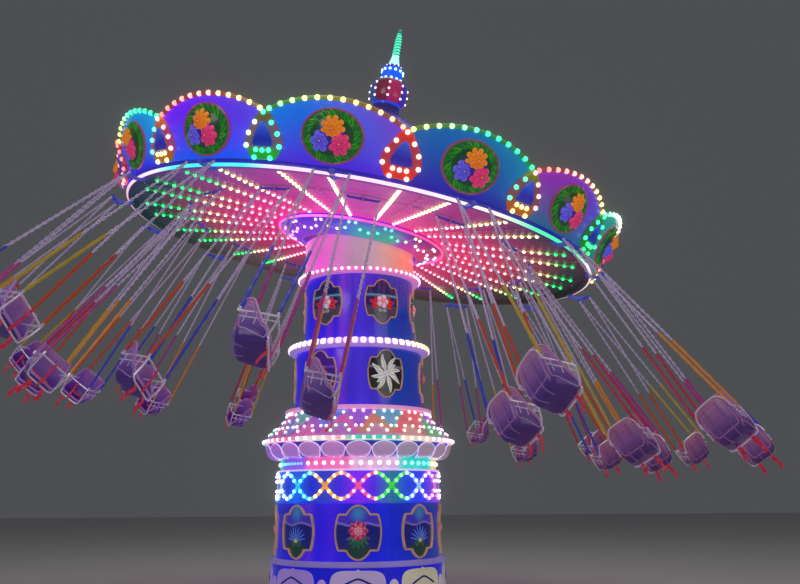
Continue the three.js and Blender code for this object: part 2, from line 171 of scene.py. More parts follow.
def oval(centre, width, height, count):
    # the section of a round ring
    angle = around(count)
    return np.stack([centre[0] + width * np.cos(angle), centre[1] + height * np.sin(angle)], -1)


def mirrored(half):
    # an outline from the part to the right of the axis, foot first
    return half + [(-x, y) for x, y in reversed(half) if x]


def runOf(line):
    # the length along a line up to each of its points
    return np.concatenate([[0], np.cumsum(np.linalg.norm(np.diff(line, axis=0), axis=1))])


def reachOf(profile, along):
    return np.interp(along, runOf(profile), np.asarray(profile, float)[:, 0])


def laid(profile, azimuth, along, rise):
    # a point on a turned profile: the profile is read at a length measured along it,
    # and the point stands off it by rise, along the profile's normal
    azimuth, along, rise = np.broadcast_arrays(azimuth, along, rise)
    profile = np.asarray(profile, float)
    run = runOf(profile)
    near = np.clip(along - 0.003, 0, run[-1] - 0.006)
    r, z = (np.interp(along, run, column) for column in profile.T)
    stepR, stepZ = (np.interp(near + 0.006, run, column) - np.interp(near, run, column)
                    for column in profile.T)
    step = np.hypot(stepR, stepZ)
    return polar(r + rise * stepZ / step, azimuth, z - rise * stepR / step)


def stamped(profile, centre, ornament, reach=None):
    # an ornament of (x, y, rise, colours, wraps) laid on a turned profile about centre = (azimuth, along);
    # x is turned to an angle at the radius reach, or at the profile's own radius there
    x, y, rise, colours, wraps = ornament
    reach = reach or reachOf(profile, centre[1])
    return asShape(laid(profile, centre[0] + x / reach, centre[1] + y, rise), colours, *wraps)


def capped(rows):
    # a first and a last row are added at the middle of the open ends, which closes them
    ends = [row.mean(1, keepdims=True) + 0 * row for row in (rows[:1], rows[-1:])]
    return np.concatenate([ends[0], rows, ends[1]])


def cappedTint(colours):
    # one colour for each point of a line, made to fit its capped rows
    return np.concatenate([colours[:1], colours, colours[-1:]])[:, None]


def stripOn(profile, azimuth, run, section):
    # the grid of a section of (offset, rise) carried straight up a turned profile
    section = np.asarray(section, float)
    return capped(laid(profile, azimuth + section[:, 0] / reachOf(profile, run)[:, None], run[:, None],
                       section[:, 1]))


def bead(x, y, section, closed, colour=(1, 1, 1)):
    # a section of (offset, rise) carried along the line (x, y); offset is to the right of the way it runs
    stepX, stepY = (np.roll(line, -1) - np.roll(line, 1) if closed else np.gradient(line) for line in (x, y))
    length = np.hypot(stepX, stepY)
    offset, rise = np.asarray(section, float).T
    rows = np.stack(np.broadcast_arrays(x[:, None] + offset * (stepY / length)[:, None],
                                        y[:, None] - offset * (stepX / length)[:, None], rise), -1)
    if not closed:
        rows = capped(rows)
    return *np.moveaxis(rows, -1, 0), colour, (closed, True)


sunk = -0.004  # how deep the backs of ornaments lie in the surface under them


def halfRound(width, height, foot=sunk, steps=6):
    # a flat-bottomed round section
    angle = np.linspace(0, np.pi, steps)
    return [(width, foot)] + [(width * np.cos(a), height * np.sin(a)) for a in angle] + [(-width, foot)]


def plate(radius, levels, colour=(1, 1, 1), count=96):
    # a closed plate inside the polar outline radius(angle); levels are (share of the outline, rise) from
    # the middle of the back, round the edge, to the middle of the front
    share, rise = np.array(levels, float).T[..., None]
    x, y = (share * line for line in outlineOf(radius, count))
    return x, y, rise, colour(x, y) if callable(colour) else colour, (False, True)


def outlineOf(radius, count):
    angle = around(count)
    return radius(angle) * np.cos(angle), radius(angle) * np.sin(angle)


def tube(path, radius, colour=(1, 1, 1), sides=8, closed=False, across=(0, 0, 1)):
    # a round section carried along a path; its first axis is square to the path and to across
    path = np.asarray(path, float)
    step = np.roll(path, -1, 0) - np.roll(path, 1, 0) if closed else np.gradient(path, axis=0)
    step = step / np.linalg.norm(step, axis=1, keepdims=True)
    side = np.cross(step, across)
    side = side / np.linalg.norm(side, axis=1, keepdims=True)
    lift = np.cross(side, step)
    c, s = (f(around(sides))[:, None] for f in (np.cos, np.sin))
    radius = np.broadcast_to(radius, (len(path),))[:, None, None]
    rows = path[:, None] + radius * (side[:, None] * c + lift[:, None] * s)
    return asShape(rows if closed else capped(rows), colour, wrapRows=closed)


def smoothLine(corners, count):
    # a Catmull-Rom line through the corners, with count points between each pair
    corners = np.asarray(corners, float)
    ends = np.concatenate([[2 * corners[0] - corners[1]], corners, [2 * corners[-1] - corners[-2]]])
    a, b, c, d = (ends[k:len(ends) - 3 + k, None] for k in range(4))
    t = (np.arange(count) / count)[None, :, None]
    line = 0.5 * (2 * b + (c - a) * t + (2 * a - 5 * b + 4 * c - d) * t ** 2
                  + (3 * b - a - 3 * c + d) * t ** 3)
    return np.concatenate([line.reshape(-1, corners.shape[1]), corners[-1:]])


def prism(outline, span):
    # an outline of (x, z) drawn out along y between the two numbers of span
    x, z = np.array(outline).T
    return asShape(capped(np.stack([np.stack([x, 0 * x + y, z], -1) for y in span])))


# A piece is one mesh that rides on a body and takes a finish.

def addPiece(name, shapes, finish, body, slot, replaces=(), crease=32):
    points, quads, colours = merged(shapes)
    mesh = bpy.data.meshes.new(name)
    mesh.vertices.add(len(points))
    mesh.vertices.foreach_set("co", points.astype(np.float32).ravel())
    mesh.loops.add(quads.size)
    mesh.loops.foreach_set("vertex_index", quads.astype(np.int32).ravel())
    mesh.polygons.add(len(quads))
    mesh.polygons.foreach_set("loop_start", np.arange(len(quads), dtype=np.int32) * 4)
    tint = mesh.attributes.new("tint", "FLOAT_COLOR", "POINT")
    tint.data.foreach_set("color", np.c_[colours, np.ones(len(colours))].astype(np.float32).ravel())
    mesh.update(calc_edges=True)
    shaped = bmesh.new()
    shaped.from_mesh(mesh)
    bmesh.ops.remove_doubles(shaped, verts=shaped.verts, dist=2e-5)
    bmesh.ops.recalc_face_normals(shaped, faces=shaped.faces)
    shaped.to_mesh(mesh)
    shaped.free()
    mesh.polygons.foreach_set("use_smooth", np.ones(len(mesh.polygons), bool))
    mesh.set_sharp_from_angle(angle=crease * degree)
    mesh.materials.append(finish)
    piece = inScene(name, mesh)
    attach(piece, body)
    if replaces:
        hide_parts(*replaces)


# Bulbs: a low dome about (0, 0, 0) with a radius of 1, paler at its top, which is towards +Z.

bulbPaleness = np.repeat([1, 1, 1, 1.25, 1.5], 8)[:, None] * np.ones(3)
bulb = (*turned([(0, -0.3), (1, -0.3), (0.96, 0.35), (0.6, 0.8), (0, 0.95)], sides=8)[:2], bulbPaleness)


def axesAlong(up, guide=(0.31, 0.27, 0.91)):
    # three axes for each direction: its third is that direction
    up = up / np.linalg.norm(up, axis=-1, keepdims=True)
    first = np.cross(np.broadcast_to(guide, up.shape), up)
    first = first / np.linalg.norm(first, axis=-1, keepdims=True)
    return np.stack([first, np.cross(up, first), up], -1)


def bulbsOn(profile, azimuth, along, size, colours, rise=0.0):
    # sizes are one for all, or one for each bulb
    azimuth, along, rise, size = (a.ravel() for a in np.broadcast_arrays(azimuth, along, rise, size))
    spots = laid(profile, azimuth, along, rise)
    up = laid(profile, azimuth, along, rise + 1.0) - spots
    return copies(bulb, spots, axesAlong(up), size[:, None, None], colours)


# Finishes

class Finish:
    # a material with one shader, and short ways to add nodes to it
    def __init__(self, name, **constants):
        self.material = bpy.data.materials.new(name)
        self.material.use_nodes = True
        self.tree = self.material.node_tree
        self.tree.nodes.clear()
        self.shader = self.node("BsdfPrincipled", {key.replace("_", " "): value for key,
                                                   value in constants.items()})
        self.node("OutputMaterial", {"Surface": self.shader.outputs[0]})
        self.where = self.node("TexCoord").outputs["Object"]

    def put(self, value, node, *keys):
        # a socket takes a link, a colour or a number
        for socket in (node.inputs[key] for key in keys):
            if isinstance(value, bpy.types.NodeSocket):
                self.tree.links.new(value, socket)
            else:
                socket.default_value = (*value, 1.0) if socket.type == "RGBA" else value

    def node(self, kind, inputs=None, **settings):
        made = self.tree.nodes.new("ShaderNode" + kind)
        for key, value in settings.items():
            setattr(made, key, value)
        for key, value in (inputs or {}).items():
            self.put(value, made, key)
        return made

    def noise(self, scale, detail=3.0, roughness=0.5):
        inputs = {"Vector": self.where, "Scale": scale, "Detail": detail, "Roughness": roughness}
        return self.node("TexNoise", inputs).outputs["Fac"]

    def spread(self, value, fromLow, fromHigh, toLow, toHigh):
        return self.node("MapRange", {"Value": value, "From Min": fromLow, "From Max": fromHigh,
                                      "To Min": toLow, "To Max": toHigh}).outputs["Result"]

    def blend(self, share, first, second):
        return self.node("Mix", {0: share, 6: first, 7: second}, data_type="RGBA").outputs[2]

    def math(self, operation, first, second):
        return self.node("Math", {0: first, 1: second}, operation=operation).outputs[0]

    def tint(self):
        return self.node("Attribute", attribute_name="tint").outputs["Color"]

    def paint(self, base, paintedGlow=0.0):
        self.put(base, self.shader, "Base Color")
        # the glow is painted light: a finish that is no lamp shines in its own base colour, which stands in
        # for the light that falls on it
        if paintedGlow:
            self.put(base, self.shader, "Emission Color")
            self.put(paintedGlow, self.shader, "Emission Strength")

    def roughen(self, value):
        self.put(value, self.shader, "Roughness")

    def bump(self, height, strength, distance):
        # each bump rests on the one before
        inputs = {"Height": height, "Strength": strength, "Distance": distance}
        if self.shader.inputs["Normal"].is_linked:
            inputs["Normal"] = self.shader.inputs["Normal"].links[0].from_socket
        self.put(self.node("Bump", inputs).outputs["Normal"], self.shader, "Normal")


def fibreglass(name, paint=None, gloss=0.16, coat=0.6, paintedGlow=0.0, dust=0.12, wave=0.25):
    # gel-coated fibreglass: slow waves of the mould, fine orange peel, dulled patches, dust near the ground
    finish = Finish(name, Coat_Weight=coat, Coat_Roughness=0.06)
    base = finish.tint() if paint is None else tone(paint)
    patches = finish.spread(finish.noise(1.7, 5.0, 0.6), 0.35, 0.75, 0.0, 0.35)
    base = finish.blend(patches, base, finish.blend(0.45, base, tone("0b0b22")))
    height = finish.node("SeparateXYZ", {"Vector": finish.where}).outputs["Z"]
    low = finish.math("MULTIPLY", finish.spread(height, 0.0, 0.9, 1.0, 0.0), 0.35)
    grains = finish.spread(finish.noise(46.0, 4.0, 0.7), 0.45, 0.8, 0.0, dust)
    dusty = finish.math("MULTIPLY", finish.math("ADD", low, 0.35), grains)
    finish.paint(finish.blend(dusty, base, tone("8f8a86")), paintedGlow)
    finish.roughen(finish.spread(finish.noise(6.0, 4.0, 0.6), 0.3, 0.75, gloss, gloss + 0.2))
    finish.bump(finish.noise(3.5, 1.0), wave, 0.01)
    finish.bump(finish.noise(240.0, 2.0), 0.08, 0.0008)
    return finish.material


def lamp(name, strength, unevenness=0.0, scale=9.0):
    # a lit plastic lens or diffuser: it shines in its own tint
    finish = Finish(name, Roughness=0.3, Coat_Weight=0.4, Coat_Roughness=0.1, Emission_Strength=strength)
    shine = finish.tint()
    if unevenness:
        shine = finish.blend(finish.spread(finish.noise(scale), 0.3, 0.7, unevenness, 0.0), shine, (0, 0, 0))
    finish.put(shine, finish.shader, "Emission Color")
    finish.paint(finish.blend(0.75, shine, (0.12, 0.12, 0.14)))
    finish.bump(finish.noise(160.0, 2.0), 0.15, 0.001)
    return finish.material


def metal(name, light, dark, rough, spangle=70.0, metallic=0.9, paintedGlow=0.0):
    # zinc, chrome or bronze paint: crystals or brush marks, stains and worn patches
    finish = Finish(name, Metallic=metallic)
    crystals = finish.node("TexVoronoi", {"Vector": finish.where, "Scale": spangle}).outputs["Color"]
    level = finish.node("SeparateXYZ", {"Vector": crystals}).outputs["X"]
    base = finish.blend(finish.spread(level, 0.0, 1.0, 0.0, 0.5), tone(light), tone(dark))
    stains = finish.spread(finish.noise(5.0, 6.0, 0.65), 0.5, 0.75, 0.0, 0.75)
    finish.paint(finish.blend(stains, base, tone(dark)), paintedGlow)
    finish.roughen(finish.spread(level, 0.0, 1.0, rough, rough + 0.18))
    finish.bump(finish.noise(30.0, 4.0), 0.25, 0.002)
    return finish.material


def plastic(name, rough=0.34, paintedGlow=0.0):
    # moulded plastic: soft grain, pale scuffs, a little dirt
    finish = Finish(name, Coat_Weight=0.25, Coat_Roughness=0.2)
    base = finish.tint()
    cloudy = finish.spread(finish.noise(4.0, 5.0, 0.6), 0.35, 0.7, 0.0, 0.4)
    base = finish.blend(cloudy, base, finish.blend(0.4, base, (0.02, 0.01, 0.04)))
    scuffs = finish.spread(finish.noise(34.0, 6.0, 0.75), 0.6, 0.72, 0.0, 0.25)
    finish.paint(finish.blend(scuffs, base, (0.8, 0.78, 0.84)), paintedGlow)
    finish.roughen(finish.spread(scuffs, 0.0, 0.3, rough, rough + 0.25))
    finish.bump(finish.noise(420.0, 2.0), 0.12, 0.0006)
    return finish.material


def webbing(name, paint, paintedGlow):
    # woven strap: fine ribs across and along
    finish = Finish(name, Roughness=0.75, Sheen_Weight=0.3)
    ribs = finish.node("TexWave", {"Vector": finish.where, "Scale": 120.0, "Distortion": 0.4, "Detail": 1.0},
                       bands_direction="DIAGONAL").outputs["Fac"]
    base = finish.blend(ribs, tone(paint), tone(paint) * 0.55)
    worn = finish.spread(finish.noise(18.0, 5.0), 0.5, 0.75, 0.0, 0.3)
    finish.paint(finish.blend(worn, base, (0.55, 0.42, 0.42)), paintedGlow)
    finish.bump(ribs, 0.5, 0.001)
    return finish.material


# the glows of these finishes, which are no lamps, are painted light that stands in for the light of the bulbs
# round them
blueGel = fibreglass("blueGel", "1a22c8")
litBlueGel = fibreglass("litBlueGel", gloss=0.14, coat=0.45, paintedGlow=0.42, dust=0.04, wave=0.5)
lilacGel = fibreglass("lilacGel", "ac9cf4", gloss=0.22, paintedGlow=0.22, dust=0.2)
paintedGel = fibreglass("paintedGel", gloss=0.22, paintedGlow=0.46, dust=0.25)
glowingGel = fibreglass("glowingGel", gloss=0.2, paintedGlow=0.45, dust=0.05)
loopGel = fibreglass("loopGel", gloss=0.2, paintedGlow=0.75, dust=0.03)
glowingPetal = fibreglass("glowingPetal", gloss=0.22, paintedGlow=0.46, dust=0.05)
petalLine = fibreglass("petalLine", gloss=0.2, paintedGlow=0.75, dust=0.02)
corniceGel = fibreglass("corniceGel", gloss=0.2, paintedGlow=0.58, dust=0.03)
hubGel = fibreglass("hubGel", gloss=0.2, coat=0.3, paintedGlow=0.55, dust=0.03)
ceilingSheet = fibreglass("ceilingSheet", gloss=0.34, coat=0.1, paintedGlow=0.46, dust=0.15, wave=0.5)
fasciaGel = fibreglass("fasciaGel", gloss=0.28, coat=0.1, paintedGlow=0.76, dust=0.02)
fasciaArt = fibreglass("fasciaArt", gloss=0.22, coat=0.4, paintedGlow=0.42, dust=0.03, wave=0.1)
lilacFrame = fibreglass("lilacFrame", "a04878", gloss=0.2, paintedGlow=0.3, dust=0.05)
reliefPaint = fibreglass("reliefPaint", gloss=0.14, coat=0.8, paintedGlow=0.3, dust=0.04, wave=0.1)
roofGel = fibreglass("roofGel", "3844d8", gloss=0.3, coat=0.4, paintedGlow=0.16, dust=0.2)
mintGlow = fibreglass("mintGlow", gloss=0.2, coat=0.3, paintedGlow=1.15, dust=0.0)
blueSteel = fibreglass("blueSteel", "3640d0", gloss=0.35, coat=0.2, paintedGlow=0.25)
hangerSteel = fibreglass("hangerSteel", "5458d0", gloss=0.3, coat=0.3, paintedGlow=0.3)
beamPaint = fibreglass("beamPaint", "a85098", gloss=0.3, coat=0.2, paintedGlow=0.35)
bulbLens = lamp("bulbLens", 2.6)
capLens = lamp("capLens", 1.35, unevenness=0.1)
glowPanel = lamp("glowPanel", 0.85, unevenness=0.3)
softPanel = lamp("softPanel", 0.45, unevenness=0.3, scale=4.0)
channelGlow = lamp("channelGlow", 0.8, unevenness=0.2, scale=6.0)
drumGlow = lamp("drumGlow", 0.82, unevenness=0.15, scale=2.5)
hubGlow = lamp("hubGlow", 1.6, unevenness=0.15)
tubeLight = lamp("tubeLight", 1.2, unevenness=0.12, scale=20.0)
zinc = metal("zinc", "a9abb2", "5a5c66", 0.35)
chrome = metal("chrome", "f0e4f4", "b0a4c0", 0.18, spangle=200.0, metallic=0.6, paintedGlow=0.14)
chainZinc = metal("chainZinc", "c8b8d8", "9484a8", 0.35, spangle=300.0, metallic=0.4, paintedGlow=0.24)
bronze = metal("bronze", "dcb084", "8a5c40", 0.28, spangle=150.0, metallic=0.5, paintedGlow=0.3)
seatPlastic = plastic("seatPlastic", paintedGlow=0.08)
sleevePlastic = plastic("sleevePlastic", rough=0.4, paintedGlow=0.16)
redWebbing = webbing("redWebbing", "e02c50", 0.3)
print("finishes made")


# Base

baseParts = dict(
    inside=1.28, innerWall=1.20, front=-90 * degree, medallions=8, seamDepth=0.004, loops=16, studs=144,
    ledBulbs=56, petals=24, brimBulbs=64, corniceBays=16, corniceColours=8,
    lobe=dict(width=0.43, height=0.33, middle=0.36, flameMiddle=0.33),
    medallion=dict(width=0.348, height=0.395, middle=1.232, ear=(0.86, 0.66), frame=(0.013, 0.040, 240)),
    loop=dict(middle=1.925, height=0.195, band=0.027),
    bowl=[(1.43, 2.385), (1.505, 2.44), (1.542, 2.515)],
    slope=[(1.45, 2.815), (1.30, 2.945), (1.24, 3.03)])


def spanOf(name):
    low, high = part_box(name)
    return low.z, high.z, high.x


def addRing(label, name, profile, colour, finish, body, slot, sides=192):
    addPiece(label, [turned(profile, colour, sides)], finish, body, slot, [name] if name else ())


def bracketOutline(width, height, ear):
    # a wide oval cut off level above and below, with a narrower arch beyond each cut; the corners where
    # the oval is cut are at the shares ear of the width and the height
    def radius(angle):
        c, s = np.abs(np.cos(angle)), np.maximum(np.abs(np.sin(angle)), 1e-6)
        wideHeight = height * ear[1] / np.sqrt(1 - ear[0] ** 2)
        sides = np.minimum(1 / np.hypot(c / width, s / wideHeight), height * ear[1] / s)
        return np.maximum(sides, 1 / np.hypot(c / (width * 0.68), s / height))
    return radius


def oblong(width, height, power):
    # a rounded oblong: (x / width)^power + (y / height)^power = 1
    def radius(angle):
        c, s = np.abs(np.cos(angle)) / width, np.abs(np.sin(angle)) / height
        return (c ** power + s ** power) ** (-1 / power)
    return radius


def frameMoulding(profile, centre, radius, thickness, height, count):
    # a moulding round a medallion: a steep outer side, a round top and a wall down to the picture
    section = np.array([(-1, 0), (-0.9, 0.75), (-0.45, 1), (0.25, 0.96), (0.6, 0.7), (0.8, 0.35), (1.3, 0.22),
                        (1.4, 0)]) * (thickness, height)
    section[[0, -1], 1] = sunk
    return stamped(profile, centre, bead(*outlineOf(radius, count), section, True))


def rosette(radius, petals, height, heart, tips, depth=0.24, count=96, rows=9, spin=0.0, foot=0.0):
    # a flower in relief: radius (1 - depth + depth |cos(petals angle / 2)|^0.6), height falling to the rim,
    # with a groove between petals and a raised eye
    angle = around(count)
    share = np.concatenate([[0, 1], np.linspace(1, 0, rows)])[:, None]
    lobed = np.abs(np.cos(petals * (angle - spin) / 2)) ** 0.6
    out = share * radius * (1 - depth + depth * lobed)
    swell = np.sin(np.pi * share ** 0.8) * (0.55 + 0.45 * lobed)
    rise = foot + height * np.maximum(swell, (1 - ramp(share, 0, 0.3)) ** 0.5)
    rise[:2] = foot - 0.003
    colour = mixed(mixed(tone(heart), tone(tips), share), tone("ffd890"), np.clip(1.3 - share / 0.2, 0, 1))
    # painted shade darkens the grooves between the petals
    colour = colour * (0.45 + 0.55 * lobed)[:, None]
    return out * np.cos(angle), out * np.sin(angle), rise, colour, (False, True)


def leaf(root, angle, length, width, height, colour, vein, bend=0.25, foot=0.0):
    # a pointed leaf: half-width sin(pi t)^0.8, arched across, with a groove down its middle; s runs from
    # edge to edge over the front, and back again behind it
    t = np.linspace(0, 1, 12)[:, None]
    front = np.linspace(-1, 1, 9)
    s = np.concatenate([front, front[::-1]])
    direction = angle + bend * (t - 0.5) * 2
    sag = bend * length * t * (1 - t)
    half = width * np.sin(np.pi * t) ** 0.8
    x = root[0] + length * t * np.cos(angle) - sag * np.sin(angle) - s * half * np.sin(direction)
    y = root[1] + length * t * np.sin(angle) + sag * np.cos(angle) + s * half * np.cos(direction)
    rise = foot + height * (1 - s ** 2) ** 0.5 * np.sin(np.pi * t) ** 0.5 * (0.7 + 0.3 * np.abs(s) ** 0.5)
    rise[:, len(front):] = foot - 0.003
    return x, y, rise, mixed(tone(vein), tone(colour), np.clip(np.abs(s) * 3, 0, 1)), (False, True)


def picturePlate(profile, centre, radius, colour):
    levels = [(0, sunk), (0.985, sunk), (0.985, 0.006)]
    levels += [(share, 0.006 + 0.006 * (1 - share ** 2)) for share in np.linspace(0.97, 0.0, 26)]
    return stamped(profile, centre, plate(radius, levels, colour, count=120))


def addMedallions(label, body, profile, azimuths, settings, pictures, motif):
    outline = bracketOutline(settings["width"], settings["height"], settings["ear"])
    frames, plates, reliefs = [], [], []
    for k, azimuth in enumerate(azimuths):
        spot = (azimuth, settings["middle"] - profile[0][1])
        frames.append(frameMoulding(profile, spot, outline, *settings["frame"]))
        plates.append(picturePlate(profile, spot, outline, pictures[k % len(pictures)]))
        reliefs += [stamped(profile, (spot[0], spot[1] + up), ornament) for up, ornament in motif(k)]
    addPiece(label + "MedallionFrames", frames, bronze, body, "gilt_frame")
    addPiece(label + "MedallionPictures", plates, reliefPaint, body, "medallion_art")
    addPiece(label + "MedallionReliefs", reliefs, reliefPaint, body, "medallion_art")


# A motif is a list of (how far it stands above the middle, ornament).

def blossom(size, petals, outer, deep, bright):
    # a flower of three rings of petals over a fan of leaves
    motif = [(0, leaf((0, -size * 0.35), (-90 + side * 26) * degree, size * 1.25, size * 0.16, 0.02, "1f7a4a",
                      "0e3c30", 0.12)) for side in range(-3, 4)]
    rings = [(1.0, deep, outer, 0.006), (0.72, outer, bright, 0.018), (0.42, bright, "ffc0d0", 0.030)]
    return motif + [(size * 0.12, rosette(size * share, petals, 0.022, colour, edge, spin=k * np.pi / petals,
                                          foot=foot, depth=0.3))
                    for k, (share, colour, edge, foot) in enumerate(rings)]


def shellFan(size, deep, bright):
    # a fan of ribs that rises from a small boss, as on a scallop shell
    motif = [(0, leaf((0, -size * 0.75), (90 + side * 19) * degree, size * (1.35 - 0.012 * side ** 2),
                      size * 0.13, 0.03, deep, bright, 0.0)) for side in range(-4, 5)]
    motif += [(0, leaf((0, -size * 0.72), (90 + side * (100 + 18 * k)) * degree, size * 0.7, size * 0.12,
                       0.02, "1f7a4a", "0e3c30", side * 0.3)) for side in (-1, 1) for k in range(3)]
    return motif + [(-size * 0.72, rosette(size * 0.2, 6, 0.04, "e8c070", "f4e0a0"))]


def baseMotif(k):
    return shellFan(0.19, "2438c8", "7fb4f4") if k % 2 else blossom(0.17, 8, "c81e6c", "7c1248", "f06090")


def seaPicture(x, y):
    # sky above a wavy line of foam, deep water, and a low hill at the foot
    width, height = baseParts["medallion"]["width"], baseParts["medallion"]["height"]
    line = height * (0.30 + 0.05 * np.sin(x / width * 5.0))
    picture = mixed(tone("101a8c"), tone("4a34d8"), ramp(y, line, 0.04 * height))
    moon = 1 - np.hypot(x / width, (y - height * 0.72) / height) / 0.42
    picture = mixed(picture, tone("2fb0d8"), np.clip(moon, 0, 1) * 0.8)
    picture = mixed(picture, tone("9f8cf0"), 1 - ramp(np.abs(y - line), 0, 0.055 * height))
    hill = -height * (0.56 - 0.16 * np.cos(x / width * 2.6))
    return mixed(picture, tone("14403c"), ramp(hill - y, 0, 0.05 * height))


def makeSkirt(azimuths, halfBay):
    foot, top, reach = spanOf("base_skirt")
    inside, lobe = baseParts["inside"], baseParts["lobe"]
    profile = [(reach, foot), (reach, foot + 0.03), (reach - 0.018, foot + 0.055), (reach - 0.025, 0.11),
               (1.415, 0.55), (1.405, top)]
    addRing("baseSkirt", "base_skirt", [*profile, (inside, top), (inside, foot)], tone("1a1ae0"), litBlueGel,
            "base", "blue_fibreglass")

    def lobeOutline(angle):
        # a rounded oblong with a small cusp at the middle of its top
        cusp = 0.02 * (1 - ramp(np.abs(np.mod(angle, turn) - np.pi / 2), 0, 0.10))
        return oblong(lobe["width"], lobe["height"], 4.6)(angle) + cusp

    def flameOutline(angle):
        # wide at its foot, a point at its top
        upwards = np.clip(np.sin(angle), 0, 1)
        return 0.10 * (1 + 1.9 * upwards ** 5) / (1 + 0.25 * upwards)

    levels = [(0, sunk), (1, sunk), (1, 0.010), (0.985, 0.017), (0.95, 0.021), (0.6, 0.023), (0, 0.024)]
    # the lobes' lilac with painted light from the bulbs round them, which changes round the ring: violet to
    # the left, paler in front, yellowish grey to the right
    colours = "-180 a080d8 -135 a084d8 -90 b8a4d4 -45 c8c0a8 0 b0a8b8 90 a890c8 135 b0a0d0"
    chevrons = []
    for half, count, top, blunt, width, height in ((0.25, 41, 0.235, 0.05, 0.022, 0.034),
                                                   (0.15, 25, -0.05, 0.03, 0.014, 0.032)):
        x = np.linspace(-half, half, count)
        line = bead(x, top - 0.5 * np.sqrt(x ** 2 + blunt ** 2), halfRound(width, height, 0.016), False)
        chevrons += [stamped(profile, (azimuth, lobe["middle"]), line) for azimuth in azimuths]
    lobes = []
    for azimuth in azimuths:
        soft = plate(lobeOutline, levels, roundTheRing(colours, azimuth), count=120)
        flame = plate(flameOutline, levels, roundTheRing(colours, azimuth + halfBay), count=64)
        lobes += [stamped(profile, (azimuth, lobe["middle"]), soft),
                  stamped(profile, (azimuth + halfBay, lobe["flameMiddle"]), flame)]
    addPiece("skirtLobes", lobes, paintedGel, "base", "lilac_fibreglass")
    addPiece("skirtChevrons", chevrons, blueGel, "base", "blue_fibreglass")


def makeBaseRing():
    _, foot, _ = spanOf("base_skirt")
    _, top, reach = spanOf("base_ring")
    inside, middle = baseParts["inside"], (foot + top) / 2
    profile = [(inside, foot + 0.001), (reach - 0.03, foot + 0.001), (reach - 0.008, foot + 0.012),
               (reach, foot + 0.026), (reach - 0.004, middle), (reach, top - 0.026),
               (reach - 0.008, top - 0.012), (reach - 0.03, top), (inside, top)]
    row = [(reach - 0.004, middle - 0.03), (reach - 0.004, middle + 0.03)]
    addPiece("baseRing", [turned(profile), bulbsOn(row, around(baseParts["studs"]), 0.03, 0.009, (1, 1, 1))],
             lilacGel, "base", "lilac_fibreglass", ["base_ring"])


def makeDrum(azimuths, halfBay):
    _, foot, _ = spanOf("base_ring")
    _, top, reach = spanOf("base_drum")
    # a fine groove where two panels meet
    seams = azimuths + halfBay
    offsets = np.array([-0.006, -0.0025, 0, 0.0025, 0.006]) / reach
    azimuth = np.unique(np.mod(np.concatenate([around(192), (seams[:, None] + offsets).ravel()]), turn))
    nearest = np.abs(np.mod(azimuth[:, None] - seams + np.pi, turn) - np.pi).min(1) * reach
    groove = baseParts["seamDepth"] * (1 - ramp(nearest, 0, 0.005))
    heights = np.linspace(foot + 0.0005, top, 12)[:, None]
    walls = np.concatenate([polar(reach - groove, azimuth, heights),
                            polar(baseParts["inside"], azimuth, heights[[-1, 0]])])
    # the drum's blue with violet streaks of painted sheen near the front, from -124 to -100 degrees
    paint = ("-180 1a14ff -150 1c10e8 -135 1810e0 -124 5e2cff -118 2a14ff -108 4418ff -100 1c14f0 -75 0c20f4 "
             "-60 0428d8 -35 1c38b8 0 2020c0 90 1c14d0")
    addPiece("baseDrum", [asShape(walls, roundTheRing(paint, azimuth), wrapRows=True)], litBlueGel, "base",
             "blue_fibreglass", ["base_drum"])
    addMedallions("base", "base", [(reach, foot), (reach, top)], azimuths, baseParts["medallion"],
                  [seaPicture], baseMotif)


